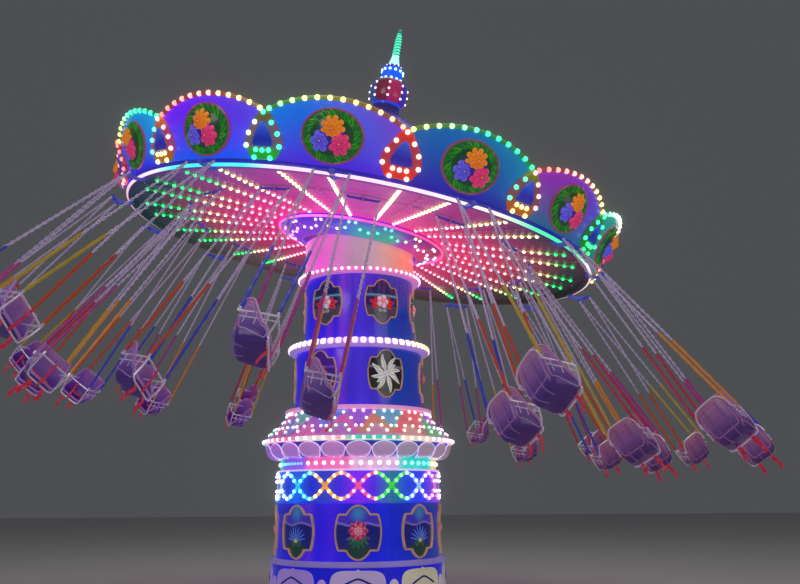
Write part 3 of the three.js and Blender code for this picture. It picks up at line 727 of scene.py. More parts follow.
def makeLoopBand():
    # sixteen loops where two opposite waves cross: height = middle + size cos(8 (azimuth - first loop))
    _, foot, reach = spanOf("base_drum")
    _, top, _ = spanOf("loop_band")
    wall = [(baseParts["inside"], foot + 0.001), (reach + 0.026, foot + 0.001), (reach + 0.03, foot + 0.012),
            (reach + 0.03, foot + 0.034), (reach + 0.022, foot + 0.045), (reach, foot + 0.05),
            (reach, top - 0.03), (reach - 0.15, top - 0.03), (reach - 0.15, top - 0.06)]
    shine = ("-172 60b0ff -157 0060e8 -146 0818d8 -135 0060e8 -123 0818d0 -112 1838c0 -103 3018e0 -90 7a18f0 "
             "-80 4a18e8 -67 106a90 -55 1238e0 -40 1830f0 -20 a040e0 10 2050e8 40 7a18f0 80 106ad0 "
             "120 4a18e8 160 1a6af0")
    addRing("loopBand", "loop_band", wall, shine, loopGel, "base", "blue_fibreglass", 240)
    ledge = [(reach - 0.15, top - 0.029), (reach + 0.010, top - 0.029), (reach + 0.020, top - 0.022),
             (reach + 0.022, top - 0.012), (reach + 0.014, top - 0.003), (reach - 0.02, top),
             (reach - 0.15, top)]
    addRing("loopBandLedge", None, ledge, tone("d8c0f0"), petalLine, "base", "lilac_fibreglass")

    sectors = ("-174 ffe8ff -160 f0f0ff -148 b0f4ff -136 30e0ff -124 40e8f0 -119 ffd890 -112 ffc040 "
               "-101 ffcf70 -97 ff90c8 -90 ff70c0 -80 ff88a8 -76 50ff60 -67 30e830 -59 60f070 -54 a0d0ff "
               "-45 b8e0ff -33 ff90e8 -15 ffb0d8 8 30e0ff 30 ffc040 53 ff70c0 75 30e830 98 a0d0ff 120 ff70c0 "
               "143 ffc040 165 40e8f0")
    profile = [(reach, foot + 0.05), (reach, top - 0.03)]
    loop, pitch = baseParts["loop"], turn / baseParts["loops"]
    middle = loop["middle"] - profile[0][1]
    bands, lights = [], []
    for azimuth in baseParts["front"] + pitch / 2 + around(baseParts["loops"]):
        for way in (-1, 1):
            share = np.linspace(-0.5, 0.5, 25)
            tint = roundTheRing(sectors, azimuth + share * pitch) ** 1.6
            line = bead(share * pitch * reach, way * loop["height"] * np.cos(share * np.pi),
                        halfRound(loop["band"], 0.012), False, cappedTint(tint))
            bands.append(stamped(profile, (azimuth, middle), line))
            share = np.array([-0.366, -0.204, 0, 0.204, 0.366])
            tint = mixed(roundTheRing(sectors, azimuth + share * pitch), (1, 1, 1), 0.10)
            lights.append(bulbsOn(profile, azimuth + share * pitch, middle + way * loop["height"]
                                  * np.cos(share * np.pi), 0.029, tint, rise=0.010))
    addPiece("loopChannels", bands, channelGlow, "base", "led_bulb")
    addPiece("loopBulbs", lights, bulbLens, "base", "led_bulb")
    print("loop band dressed")


def makeLedBand():
    foot, top, reach = spanOf("led_band")
    inside = baseParts["innerWall"]
    sectors = ("-178 ffe0b0 -166 20e0c0 -160 30c0c0 -156 8050f0 -132 9458f0 -126 ff60b8 -98 ff78c0 "
               "-92 f0b4e0 -64 e8bce8 -58 20e0d0 -30 10d8c8 -24 ffe4a8 -4 ffe4a8 2 9458f0 30 8050f0 "
               "36 ff5aa0 66 ff70a8 72 ffd8e0 100 ffd0d8 106 20e0d0 136 10d8c8 142 9458f0 176 8050f0")
    wall = [(inside, foot + 0.001), (reach, foot + 0.001), (reach, foot + 0.06), (reach, top - 0.06),
            (reach, top), (inside, top)]
    addRing("ledBand", "led_band", wall, sectors, glowPanel, "base", "lamp_white", 208)
    bulbColours = ("-178 fff0d0 -160 40f0e8 -150 4090ff -133 5080ff -126 ffc0e0 -98 ffb0d8 -92 fff4fa "
                   "-64 fff4fa -58 80fff0 -30 50f8e0 -24 fff0c0 -4 fff0c0 4 4090ff 30 5080ff 38 ffc0e0 "
                   "66 ffb0d8 72 fff4fa 100 fff4fa 108 80fff0 136 50f8e0 144 4090ff 176 5080ff")
    # the blue sectors have small bulbs close together, the others large ones at every other place
    places = 2 * baseParts["ledBulbs"]
    spots = baseParts["front"] + around(places) + turn / places / 2
    colours = roundTheRing(bulbColours, spots)
    close = colours[:, 2] - colours[:, 0] > 0.7
    kept = close | (np.arange(places) % 2 == 0)
    sizes = np.where(close, 0.024, 0.034)[kept]
    bulbs = bulbsOn([(reach, foot), (reach, top)], spots[kept], (top - foot) * 0.5, sizes, colours[kept])
    addPiece("ledBandBulbs", [bulbs], bulbLens, "base", "led_bulb")


def makeCove():
    # the cove under the brim, with its petals
    _, foot, footReach = spanOf("led_band")
    _, top, reach = spanOf("petal_cove")
    inside = baseParts["innerWall"]
    cove = smoothLine([(footReach + 0.01, foot + 0.001), *baseParts["bowl"], (reach, top)], 6)
    # the cove's blue with painted coloured light, which changes round the ring
    depth = "0 2a1ad0 60 1040c8 120 3018c0 180 1a22c8 240 3818b8 270 4020a8 300 1040b8"
    addRing("petalCove", "petal_cove", [(inside, foot + 0.001), *cove, (inside, top)], depth, glowingGel,
            "base", "blue_fibreglass")
    sector = turn / baseParts["petals"]
    # t runs up a petal and s across it; it is widest high up and rounds off quickly to its tip
    t = np.array([0, 0.03, 0.06, 0.12, 0.2, 0.3, 0.4, 0.5, 0.6, 0.7, 0.78, 0.84, 0.89, 0.93, 0.96, 0.98,
                  1])[:, None]
    s = np.linspace(-1, 1, 15)
    half = sector / 2 * 0.97 * np.interp(t, [0, 0.06, 0.12, 0.25, 0.45, 0.7, 0.8, 0.88, 0.94, 0.98, 1],
                                         [0.2, 0.36, 0.48, 0.68, 0.88, 1.0, 0.93, 0.76, 0.52, 0.27, 0.06])
    up = t * runOf(cove)[-1] * 0.985
    edge = np.clip((1 - np.abs(s)) / 0.12, 0, 1) ** 0.5 * np.clip(np.minimum(t, 1 - t) / 0.05, 0, 1) ** 0.5
    dome = 0.002 + edge * (0.010 + 0.020 * (1 - s ** 2) * np.sin(np.pi * t))
    dome[[0, -1]] = 0.002
    # the petals' mauve with painted light, which makes them pinker in front and greyer to the right
    mauveWithPaintedLight = ("-180 a870f0 -150 b878ec -120 c888e0 -95 d090dc -80 c098cc -60 b0a0bc -20 b898b0 60 b080d0 "
             "130 a868e0")
    # the raised line round a petal: along its foot, up its right side, back along its tip and down its left
    border = np.concatenate([np.stack([s * half[0], 0 * s], -1)[:-1], np.concatenate([half, up], 1)[:-1],
                             np.stack([s * half[-1], up[-1] + 0 * s], -1)[:0:-1],
                             np.concatenate([-half, up], 1)[:0:-1]])
    line = bead(border[:, 0] * 1.5, border[:, 1], halfRound(0.0085, 0.014, -0.003, 5), True, tone("e0ccf8"))
    petals, edges = [], []
    for middle in baseParts["front"] + around(baseParts["petals"]):
        front = laid(cove, middle + s * half, up + 0.004, dome)
        back = laid(cove, middle + s * half, up + 0.004, sunk)
        ring = np.concatenate([front, back[:, ::-1]], 1)
        ends = [row * 0.5 + row[:, ::-1] * 0.5 for row in (ring[:1], ring[-1:])]
        petals.append(asShape(np.concatenate([ends[0], ring, ends[1]]), roundTheRing(mauveWithPaintedLight, middle)))
        edges.append(stamped(cove, (middle, 0.004), line, 1.5))
    addPiece("petals", petals, glowingPetal, "base", "lilac_fibreglass")
    addPiece("petalEdges", edges, petalLine, "base", "lilac_fibreglass")
    print("led band and petals dressed")


def makeBrim():
    foot, top, reach = spanOf("brim_ring")
    inside = baseParts["innerWall"]
    sectors = ("-178 60e8f0 -169 50e0f0 -162 ff70b8 -129 ff80b8 -125 ffe8e8 -111 fff0e8 -106 ffc0d0 "
               "-99 ffb0c0 -94 60e0b0 -88 20d8c0 -68 18d8c8 -64 fff0c8 -43 ffe8c0 -38 ffc8e8 -6 ffd8f0 "
               "4 ffd0a0 30 18d8c8 60 ff60b0 90 ffe8c0 120 18d8c8 150 ff80b8")
    ring = [(inside, foot + 0.001), (reach - 0.02, foot + 0.001), (reach - 0.006, foot + 0.016),
            (reach, foot + 0.03), (reach, top - 0.02), (reach - 0.012, top), (inside, top)]
    addRing("brimRing", "brim_ring", ring, sectors, glowPanel, "base", "lamp_white", 256)
    addRing("brimLine", None, oval((reach - 0.004, foot + 0.012), 0.008, 0.008, 8), tone("ffe8e8"), glowPanel,
            "base", "led_bulb")
    count = baseParts["brimBulbs"]
    spots = baseParts["front"] + around(count) + turn / count / 2
    pale = mixed(roundTheRing(sectors, spots), (1, 1, 1), 0.45)
    bulbs = bulbsOn([(reach, foot), (reach, top)], spots, (top - foot) * 0.58, 0.027, pale)
    addPiece("brimBulbs", [bulbs], bulbLens, "base", "led_bulb")


def zigzagAt(share):
    # share of the cornice's slope at a share of the bay from its middle
    return np.interp(np.abs(share), [0, 0.08, 0.24, 0.5], [0.31, 0.38, 0.70, 0.93])


def humpAt(share):
    return 0.12 + 0.33 * np.cos(share / 0.31 * np.pi / 2)


def makeCornice():
    # a zigzag with a bulb-lined hump in each of its gaps, and a colour for each field
    _, foot, footReach = spanOf("brim_ring")
    _, top, _ = spanOf("cornice")
    front, kinds, pitch = baseParts["front"], baseParts["corniceColours"], turn / baseParts["corniceBays"]
    slope = smoothLine([(footReach - 0.025, foot + 0.001), *baseParts["slope"], (1.215, top)], 5)
    length = runOf(slope)[-1]
    azimuth = around(384)
    along = np.linspace(0, length, 29)[:, None]
    lobe, tip, hump = (mixed(tones(codes), tone("ffc8f8"), 0.12) for codes in (
        "7030c8 1890b8 e05048 8838c8 109898 c04890 109898 1a50e0",
        "b06828 c85040 20a060 7040c0 c85098 1a70c0 8030b8 b83898",
        "a87898 b89080 50b070 b060b0 1890b8 a04890 c850a8 9858b0"))
    place = (azimuth - front) / pitch
    nearest, gap = np.floor(place + 0.5).astype(int), np.floor(place).astype(int)
    fromGap = place - gap - 0.5
    zigzag = length * zigzagAt(place - nearest)
    humpLine = length * np.where(np.abs(fromGap) < 0.31, humpAt(fromGap), 0.06)
    patch = mixed(tip[gap % kinds], lobe[nearest % kinds], ramp(along, zigzag, 0.02))
    patch = mixed(hump[gap % kinds], patch, ramp(along, humpLine, 0.02))
    back = polar(baseParts["innerWall"] * 0.96, azimuth, np.array([[top], [foot + 0.001]]))
    body = asShape(np.concatenate([laid(slope, azimuth, along, 0.0), back]),
                   np.concatenate([patch, tone("7060a0") + 0 * back]), wrapRows=True)
    addPiece("cornice", [body], corniceGel, "base", "blue_fibreglass", ["cornice"])
    upperLights = tones("ff90c8 50f0c0 ff9898 ff90f0 50e8e0 ffa0d0 ffd0e8 60a8ff")
    lowerLights = tones("ffe8b0 ffd0b0 60f090 ffb0e0 50e8e0 ffa0c0 ff90c0 50f0b0")
    spots = np.array([(-0.15, 0.965), (0.15, 0.965), (0.5, 0.92), (-0.24, 0.72), (0.24, 0.72), (-0.08, 0.38),
                      (0.08, 0.38), (0.36, 0.39), (0.64, 0.39), (0.25, 0.19), (0.75, 0.19)]) * (pitch, length)
    strips, lights = [], []
    for k, middle in enumerate(front + around(baseParts["corniceBays"])):
        upper, lower = upperLights[k % kinds], lowerLights[k % kinds]
        for centre, share, height, colour in ((0, np.linspace(-0.5, 0.5, 15), zigzagAt, upper),
                                              (0.5, np.linspace(-0.3, 0.3, 13), humpAt, lower)):
            line = bead(share * pitch * 1.4, length * height(share), halfRound(0.010, 0.008), False,
                        colour * 0.8)
            strips.append(stamped(slope, (middle + centre * pitch, 0), line, 1.4))
        pale = mixed(np.array([upper] * 7 + [lower] * 4), (1, 1, 1), 0.35)
        lights.append(bulbsOn(slope, middle + spots[:, 0], spots[:, 1], 0.025, pale, rise=0.004))
    addPiece("corniceChannels", strips, softPanel, "base", "led_bulb")
    addPiece("corniceBulbs", lights, bulbLens, "base", "led_bulb")

    foot, top, reach = spanOf("cornice_lip")
    hole = 1.15  # room for the medallions of the tier that slides down through it
    rounded = [(hole, foot + 0.001), *arc((reach - 0.035, foot + 0.040), 0.035, -75, 80, 12),
               (reach - 0.05, top), (hole, top)]
    addRing("corniceLip", "cornice_lip", rounded, tone("f0a8dc"), glowingPetal, "base", "lamp_white")
    print("cornice dressed")


def makeBase():
    azimuths = baseParts["front"] + around(baseParts["medallions"])
    halfBay = turn / baseParts["medallions"] / 2
    makeSkirt(azimuths, halfBay)
    makeBaseRing()
    makeDrum(azimuths, halfBay)
    print("base drum dressed")
    makeLoopBand()
    makeLedBand()
    makeCove()
    makeBrim()
    makeCornice()


makeBase()


# Tower

towerParts = dict(
    medallions=6, first=-66 * degree,
    sheen="-180 2418ff -160 2414ff -128 2c14ff -122 7428e8 -114 2c18f4 -108 7c30f0 -98 4428e0 -88 4c34f0 "
          "-76 4028d8 -60 1040b8 -30 1438b8 0 1828c0 90 2014d8",
    lower=dict(width=0.31, height=0.385, middle=3.705, ear=(0.84, 0.66), frame=(0.009, 0.030, 200)),
    upper=dict(width=0.30, height=0.375, middle=4.93, ear=(0.84, 0.66), frame=(0.009, 0.030, 200)),
    lowerHole=1.005, upperHole=0.886, ringLamps=56)


def tierPicture(height, sky, band, ground):
    # a darkened field, a pale band across it and a lighter foot
    def colour(x, y):
        field = mixed(tone(ground), tone(sky), ramp(y / height, -0.25, 0.1))
        return mixed(field, tone(band), (1 - ramp(np.abs(y / height - 0.28), 0, 0.07)) * 0.9)
    return colour


def lowerMotif(k):
    # silver sprays on black, or a red bloom on violet
    if k % 2:
        return blossom(0.16, 7, "c0305c", "5a1450", "f0607a")
    motif = []
    for row, (size, count, lift) in enumerate([(0.33, 8, 0.0), (0.23, 6, 0.008)]):
        for angle in around(count) + 0.5 * row * turn / count + 0.2:
            long = size * (0.75 + 0.25 * abs(np.sin(angle)))
            motif.append((0, leaf((0.02 * np.cos(angle), 0.02 * np.sin(angle)), angle, long, 0.04, 0.022,
                                  "fcfff4", "8faaa0", 0.35, foot=lift)))
    return motif + [(0, rosette(0.07, 6, 0.045, "ffffff", "e8f0ff"))]


def upperMotif(k):
    # a white bloom between red leaves, over a grey-green foot
    motif = []
    for side in (-1, 1):
        for j, tilt in enumerate((20, 55, -15)):
            motif.append((0, leaf((side * 0.04, -0.07), (90 - side * (90 - tilt)) * degree, 0.215 - 0.025 * j,
                                  0.05, 0.024, "f02838", "901020", side * 0.25)))
        motif.append((0, leaf((side * 0.03, -0.18), (90 + side * 60) * degree, 0.15, 0.04, 0.016, "b8c8c0",
                              "607a70", side * 0.2)))
    return motif + [(0, rosette(0.12, 5, 0.03, "ffffff", "f8e0f0", foot=0.008)),
                    (0.01, rosette(0.06, 5, 0.03, "ffd0d8", "ff8090", foot=0.026, spin=np.pi / 5))]


def makeTier(label, pictures, motif):
    foot, top, reach = spanOf(label + "_tier")
    body, settings = label + "_tower", towerParts[label]
    wall = [(reach - 0.06, foot), (reach - 0.002, foot), (reach, foot + 0.01), (reach, top - 0.01),
            (reach - 0.002, top), (reach - 0.06, top)]
    addRing(label + "Tier", label + "_tier", wall, towerParts["sheen"], litBlueGel, body, "blue_fibreglass")
    azimuths = towerParts["first"] + around(towerParts["medallions"])
    pictures = [tierPicture(settings["height"], *codes.split()) for codes in pictures]
    addMedallions(label, body, [(reach, foot), (reach, top)], azimuths, settings, pictures, motif)


def makeTowerRing(label, colour, steps):
    # a roll round the top of a tier; its section is given back for the lamps on it
    foot, top, reach = spanOf(label + "_ring")
    hole, roll = towerParts[label + "Hole"], (top - foot) / 2
    centre = (reach - roll, foot + roll)
    section = [(hole, foot), *arc(centre, roll, -90, 90, steps), (hole, top)]
    addRing(label + "Ring", label + "_ring", section, tone(colour), glowingPetal, label + "_tower",
            "lamp_white")
    return foot, reach, roll, arc(centre, roll, -90, 90, 40)


def makeTower():
    makeTier("lower", ["0c0e20 8fa8a0 20301c", "4a1a9a 8a58e0 5a1838"], lowerMotif)
    makeTier("upper", ["141c6c 70d8e8 4a4c60"], upperMotif)

    # the lower ring has a row of lit caps round its shoulder
    foot, reach, roll, profile = makeTowerRing("lower", "b890f0", 22)
    count = towerParts["ringLamps"]
    levels = [(0, sunk), (1, sunk), (1, 0.010), (0.93, 0.016), (0.5, 0.020), (0, 0.021)]
    azimuths = baseParts["front"] + around(count) + turn / count / 2
    whites = roundTheRing("-180 e8e0ff -130 f4e8ff -105 ffc8f0 -85 ffd8f0 -50 fff0dc -20 ffe0b8 60 ffd0f0 "
                          "120 f4e8ff", azimuths)
    caps = [stamped(profile, (azimuth, roll * np.pi * 0.60),
                    plate(oblong(0.048, 0.050, 5), levels, white, count=16))
            for azimuth, white in zip(azimuths, whites)]
    addPiece("lowerRingCaps", caps, capLens, "lower_tower", "led_bulb")
    addRing("lowerRingLine", None, oval((reach - 0.012, foot + roll * 0.78), 0.010, 0.010, 8), tone("b070f0"),
            softPanel, "lower_tower", "led_bulb")

    foot, reach, roll, profile = makeTowerRing("upper", "f890dc", 18)
    bulbs = bulbsOn(profile, around(count) + turn / count / 2, roll * np.pi * 0.58, 0.027, tone("ffc0f0"))
    addPiece("upperRingBulbs", [bulbs], bulbLens, "upper_tower", "led_bulb")
    print("tower dressed")

    # the lamp drum shines through its sheet: pink on one side, cream in the middle, orange on the other
    foot, top, reach = spanOf("lamp_drum")
    sectors = ("-180 ffd0ff -160 ff78e8 -138 ff58dc -115 e878d0 -97 b890b0 -75 c0a0a8 -55 e89888 -35 ff8468 "
               "-10 ff7868 30 e858d0 90 e8c8b8 135 ff8858")
    wall = [(0, foot), (reach - 0.004, foot), (reach, foot + 0.01), (reach, foot + 0.2), (reach, top - 0.15),
            (reach, top - 0.01), (reach - 0.004, top), (reach - 0.06, top), (reach - 0.06, foot + 0.04),
            (0, foot + 0.04)]
    addRing("lampDrum", "lamp_drum", wall, sectors, drumGlow, "lean_drum", "lamp_white", 160)


makeTower()
for name, finish in (("tilt_yoke", zinc), ("tilt_block", zinc), ("base_plate", zinc),
                     ("crown_hub", beamPaint), ("ring_beam", beamPaint)):
    nodes[name].data.materials.clear()
    nodes[name].data.materials.append(finish)
print("lamp drum and bearing dressed")


# Crown. Its pieces are worked out upright about their own axis and then leant.

spinJoint = next(joint for joint in frame["joints"] if joint["name"] == "crown_spin")
crownPivot = np.array(spinJoint["pos_m"], float)
crownAxis = Vector(spinJoint["axis"]).normalized()
crownTurn = np.array(Vector((0, 0, 1)).rotation_difference(crownAxis).to_matrix())

crownParts = dict(
    bays=14, first=-83 * degree, sides=168, hub=[(1.06, -0.03), (1.46, 0.165)], hubInside=1.03, hubTop=0.24,
    beam=(3.0, 3.09), hoop=(4.0, 4.066), hoopFoot=-0.02, hoopTop=0.09, ceilingAtHub=(1.491, 0.19),
    ceilingAtBeam=0.10, ceilingAtRim=0.055, sheet=0.03, reach=4.076, lean=0.3946, valley=0.705, peak=0.945,
    archPower=0.75, panel=0.06, stripBulbs=17, archBulbs=12, outerFirst=-94.6 * degree, hangerReach=4.32,
    hangerHeight=-0.03)
bay = turn / crownParts["bays"]
bayStarts = crownParts["first"] + around(crownParts["bays"])


def aboutZ(azimuth):
    c, s = np.cos(azimuth), np.sin(azimuth)
    return np.array([[c, -s, 0], [s, c, 0], [0, 0, 1]])


def moved(shape, matrix, origin=(0, 0, 0)):
    points, quads, colours = shape
    return points @ matrix.T + origin, quads, colours


def leant(points):
    return points @ crownTurn.T + crownPivot


def addCrownPiece(name, shapes, finish, slot, replaces=(), crease=32):
    shapes = [moved(shape, crownTurn, crownPivot) for shape in shapes]
    addPiece(name, shapes, finish, "crown", slot, replaces, crease)


def makeHub():
    (footReach, foot), (topReach, top) = profile = crownParts["hub"]
    sides, inside, height = crownParts["sides"], crownParts["hubInside"], crownParts["hubTop"]
    # the band's blue with painted light from its bulbs, which changes round the ring, low and high on the
    # band
    low = ("-180 9030f0 -150 9838f0 -118 8048f0 -104 3878e8 -92 10b8b0 -62 10c898 -52 a038c8 -35 d03098 "
           "-8 e03070 30 8028e0 90 2030d8 140 2848e8")
    high = ("-180 7020f0 -140 5018f0 -115 3810f0 -70 2c18e0 -50 3c1ca8 -30 701c78 0 9a1c58 60 5018d0 "
            "120 2c18e0")
    low, high = roundTheRing(low, around(sides)), roundTheRing(high, around(sides))
    wall = [(inside, foot + 0.04), (inside, foot), profile[0], ((footReach + topReach) / 2, (foot + top) / 2),
            profile[1], (topReach, height), (topReach - 0.03, height)]
    # the two rows of the inner wall are a pale lilac of painted light, mixed with the low colours
    paint = np.stack([mixed(tone("a060e0"), low, 0.3)] * 2 + [low, mixed(low, high, 0.25), high, high, high])
    addCrownPiece("hubBand", [turned(wall, paint, sides)], hubGel, "blue_fibreglass", ["hub_band"])
    length = runOf(profile)[-1]
    colours = ("-180 ff80d8 -140 ffd0e8 -120 ffc0e0 -108 f0f8ff -100 80f0f0 -75 30f0b0 -58 30f0c0 -45 fff080 "
               "-32 ffe8d0 -10 ffd0e8 40 40f0f0 90 30f0b0 130 fff080")
    # each bay has two bulbs high in its middle and three low over its start, on one scalloped line
    spots = bayStarts[:, None] + np.array([-0.27, 0, 0.27, 0.41, 0.59]) * bay
    height = length * np.array([0.43, 0.33, 0.43, 0.78, 0.78])
    bulbs = bulbsOn(profile, spots, height, 0.027, roundTheRing(colours, spots).reshape(-1, 3))
    place = np.arange(12 * crownParts["bays"]) / 12
    path = length * np.interp(np.abs(np.mod(place + 0.5, 1) - 0.5), [0, 0.27, 0.41, 0.5],
                              [0.33, 0.43, 0.78, 0.84])
    scale = 1.2
    x, y, rise, _, wraps = bead((bayStarts[0] + place * bay) * scale, path, halfRound(0.009, 0.006), False)
    line = stamped(profile, (0, 0), (x, y, rise, roundTheRing(colours, x / scale) * 0.5, wraps), scale)
    addCrownPiece("hubBandChannel", [line], softPanel, "led_bulb")
    addCrownPiece("hubBandBulbs", [bulbs], bulbLens, "led_bulb")
    sectors = "-180 ff50c0 -130 ff70d0 -90 ff50a8 -50 ff3888 -10 ff5098 90 ff50c0"
    addCrownPiece("hubRing", [turned(oval((1.483, 0.148), 0.019, 0.021, 14), sectors, sides)], hubGlow,
                  "lamp_white", ["hub_ring"])
    addCrownPiece("hubFootBead", [turned(oval((1.045, -0.022), 0.014, 0.014, 10), tone("a868e8"), sides)],
                  glowingGel, "lilac_fibreglass")
    print("hub dressed")


def ceilingPaintAndLight(r, azimuth):
    # painted light and shade over the sheet's pink: brighter pink round the hub, lilac-grey towards the front
    # rim, teal at the left edge, dark painted shade at the right
    outer = roundTheRing("-180 103440 -150 1c3c60 -125 a03cb0 -100 d848bc -85 d058b8 -65 c03498 -45 4c2058 "
                         "-30 702450 -10 302438 15 181a20 60 503844 100 604458 130 645054 155 344444",
                         azimuth)
    inner = roundTheRing("-180 f02088 -140 ff2098 -90 e830b8 -50 f83088 0 f83c68 90 c01c70", azimuth)
    return mixed(inner, outer, np.clip(ramp(r, 1.5, 2.3) * 1.45 - 0.35, 0, 1))


def ceilingSheetRing(start, end):
    # a shallow cone with its two faces, cut in rings so that the tint can change along it
    r, z = (np.linspace(a, b, 16)[:, None] for a, b in zip(start, end))
    lower = polar(r, around(crownParts["sides"]), z)
    grid = np.concatenate([lower, lower[::-1] + [0, 0, crownParts["sheet"]]])
    tint = ceilingPaintAndLight(np.concatenate([r, r[::-1]]), around(crownParts["sides"]))
    return asShape(grid, tint, wrapRows=True)


def rowTint(distance, place, whole):
    # pink at the hub, then cream, yellow and green, which begins further in on the left and not in front
    pink, cream, yellow, green = tones("ff80b0 ffb0b8 fff0b0 20f078")
    share = distance / whole
    leftness = ramp(-place, 110, 40) if place < 0 else ramp(place, 100, 60)
    frontness = (1 - ramp(np.abs(place + 85), 0, 45)) ** 0.5
    greenStart = 0.80 - 0.22 * leftness + 0.5 * frontness
    yellowStart = (greenStart - 0.24) * (1 - frontness) + 0.25 * frontness
    tint = mixed(mixed(pink, cream, ramp(share, 0, 0.5)), tone("ffd8c8"), 0.5 * frontness)
    tint = mixed(tint, yellow, ramp(share, yellowStart, 0.18))
    return mixed(tint, green, ramp(share, greenStart, 0.10))


def makeCeiling():
    parts = crownParts
    beamIn, beamOut = parts["beam"]
    rim = parts["hoop"][0]
    inner = ceilingSheetRing(parts["ceilingAtHub"], (beamIn - 0.001, parts["ceilingAtBeam"]))
    outer = ceilingSheetRing((beamOut + 0.001, parts["ceilingAtBeam"]), (rim - 0.001, parts["ceilingAtRim"]))
    addCrownPiece("ceilingInner", [inner], ceilingSheet, "ceiling_panel", ["ceiling_inner"])
    addCrownPiece("ceilingOuter", [outer], ceilingSheet, "ceiling_panel", ["ceiling_outer"])
    under = [(1.53, 0.1876), (beamIn, parts["ceilingAtBeam"]), (rim, parts["ceilingAtRim"])]
    length = runOf(under)[-1]

    # a cover strip where two sheets meet, and its screws
    section = [(0.03, -0.003), (0.03, 0.004), (0.024, 0.007), (-0.024, 0.007), (-0.03, 0.004),
               (-0.03, -0.003)]
    strips, screws = [], []
    for azimuth in bayStarts + 0.27 * bay:
        rows = stripOn(under, azimuth, np.linspace(0.02, length - 0.03, 24), section)
        reach = np.hypot(rows[..., 0], rows[..., 1])
        # the strips take the ceiling's pink and painted light and shade, a little darker
        strips.append(asShape(rows, ceilingPaintAndLight(reach, azimuth + 0 * reach) * 0.85))
        along = np.linspace(0.1, length - 0.1, 12)
        screws.append(bulbsOn(under, azimuth, along, 0.008, (0.7, 0.6, 0.7), 0.006))
    addCrownPiece("ceilingStrips", strips + screws, ceilingSheet, "ceiling_panel")

    # two rows of bulbs in each bay from the hub towards the rim, each on its own channel
    run = np.linspace(0.10, 2.27, parts["stripBulbs"])
    long = np.linspace(0.06, 2.31, 36)
    section = [(0.026, -0.003), (0.026, 0.010), (-0.026, 0.010), (-0.026, -0.003)]
    channels, lights = [], []
    for azimuth in (bayStarts[:, None] + np.array([1.5, 12.4]) * degree).ravel():
        place = np.mod(azimuth / degree + 180, 360) - 180
        hue = rowTint(long, place, run[-1]) ** 2 * 0.9
        channels.append(asShape(stripOn(under, azimuth, long, section), cappedTint(hue)))
        lights.append(bulbsOn(under, azimuth, run, 0.031, rowTint(run, place, run[-1]), 0.010))
    addCrownPiece("ceilingChannels", channels, softPanel, "led_bulb")
    addCrownPiece("ceilingBulbs", lights, bulbLens, "led_bulb")
    print("ceiling dressed")


def makeHangerRings():
    hoopIn, hoopOut = crownParts["hoop"]
    foot, top, sides = crownParts["hoopFoot"], crownParts["hoopTop"], crownParts["sides"]
    wall = [(hoopIn, foot + 0.006), (hoopIn + 0.006, foot), (hoopOut - 0.008, foot), (hoopOut, foot + 0.008),
            (hoopOut, top), (hoopIn, top)]
    # its outer face is painted like the fascia, the rest takes the ceiling's pink and painted light and
    # shade, a little darker
    tint = np.repeat(ceilingPaintAndLight(hoopIn, around(sides))[None] * 0.8, len(wall), 0)
    tint[3:5] = tone("2014b0")
    addCrownPiece("rimHoop", [turned(wall, tint, sides)], ceilingSheet, "lilac_fibreglass", ["rim_hoop"])
    sectors = ("-180 ffb0c8 -160 ffc8e0 -140 ffe8f4 -132 40f0e8 -112 40e8f0 -106 ffd0ec -80 ffd8e8 "
               "-62 fff0e0 -52 50ffb0 -34 30f8a0 -24 ffe8e0 0 ffc8d8 30 ff90c8 70 40f0e8 120 ffd0ec "
               "150 50ffb0")
    section = oval((hoopOut + 0.014, 0.014), 0.023, 0.027, 12)
    addCrownPiece("rimTube", [turned(section, sectors, 210)], tubeLight, "led_bulb")

    # outer hangers: a blue bracket of two cheeks, a foot plate on the hoop and a boss round the bore
    cheek = [(4.008, -0.019), (4.062, -0.019), (4.10, -0.034), (4.20, -0.022), (4.32, 0.010), (4.36, -0.03),
             (4.345, -0.066), (4.28, -0.076), (4.10, -0.074), (4.008, -0.052)]
    plateEdge = [(4.004, -0.028), (4.066, -0.028), (4.066, -0.018), (4.004, -0.018)]
    boss = oval((crownParts["hangerReach"], crownParts["hangerHeight"]), 0.036, 0.036, 16)
    hanger = merged([prism(cheek, (-0.026, -0.014)), prism(cheek, (0.014, 0.026)),
                     prism(plateEdge, (-0.07, 0.07)), prism(boss, (-0.034, 0.034))])
    azimuths = crownParts["outerFirst"] + around(crownParts["bays"])
    hangers = [moved(hanger, aboutZ(azimuth)) for azimuth in azimuths]
    addCrownPiece("outerHangers", hangers, hangerSteel, "galvanised_steel", crease=25)
    print("hanger rings dressed")


def archTop(share):
    # height of a panel's top edge across its bay
    valley, peak = crownParts["valley"], crownParts["peak"]
    return valley + (peak - valley) * np.sin(np.pi * share) ** crownParts["archPower"]


def panelSurface(azimuth, height, rise):
    # the fascia leans outwards by the same amount at every height
    lean = crownParts["lean"]
    tilt = np.hypot(1, lean)
    return polar(crownParts["reach"] + lean * height + rise / tilt, azimuth, height - rise * lean / tilt)


def panelBulbs(azimuth, height, rise, size, colours):
    spots = panelSurface(azimuth, height, rise)
    return copies(bulb, spots, axesAlong(panelSurface(azimuth, height, rise + 1.0) - spots), size, colours)


def onPanel(middle, height, ornament, aside=(0, 0)):
    # an ornament of (x, y, rise) laid on the leaning fascia about an azimuth and a height
    x, y, rise, colours, wraps = ornament
    reach = crownParts["reach"] + crownParts["lean"] * height
    return asShape(panelSurface(middle + (x + aside[0]) / reach, height + y + aside[1], rise), colours,
                   *wraps)


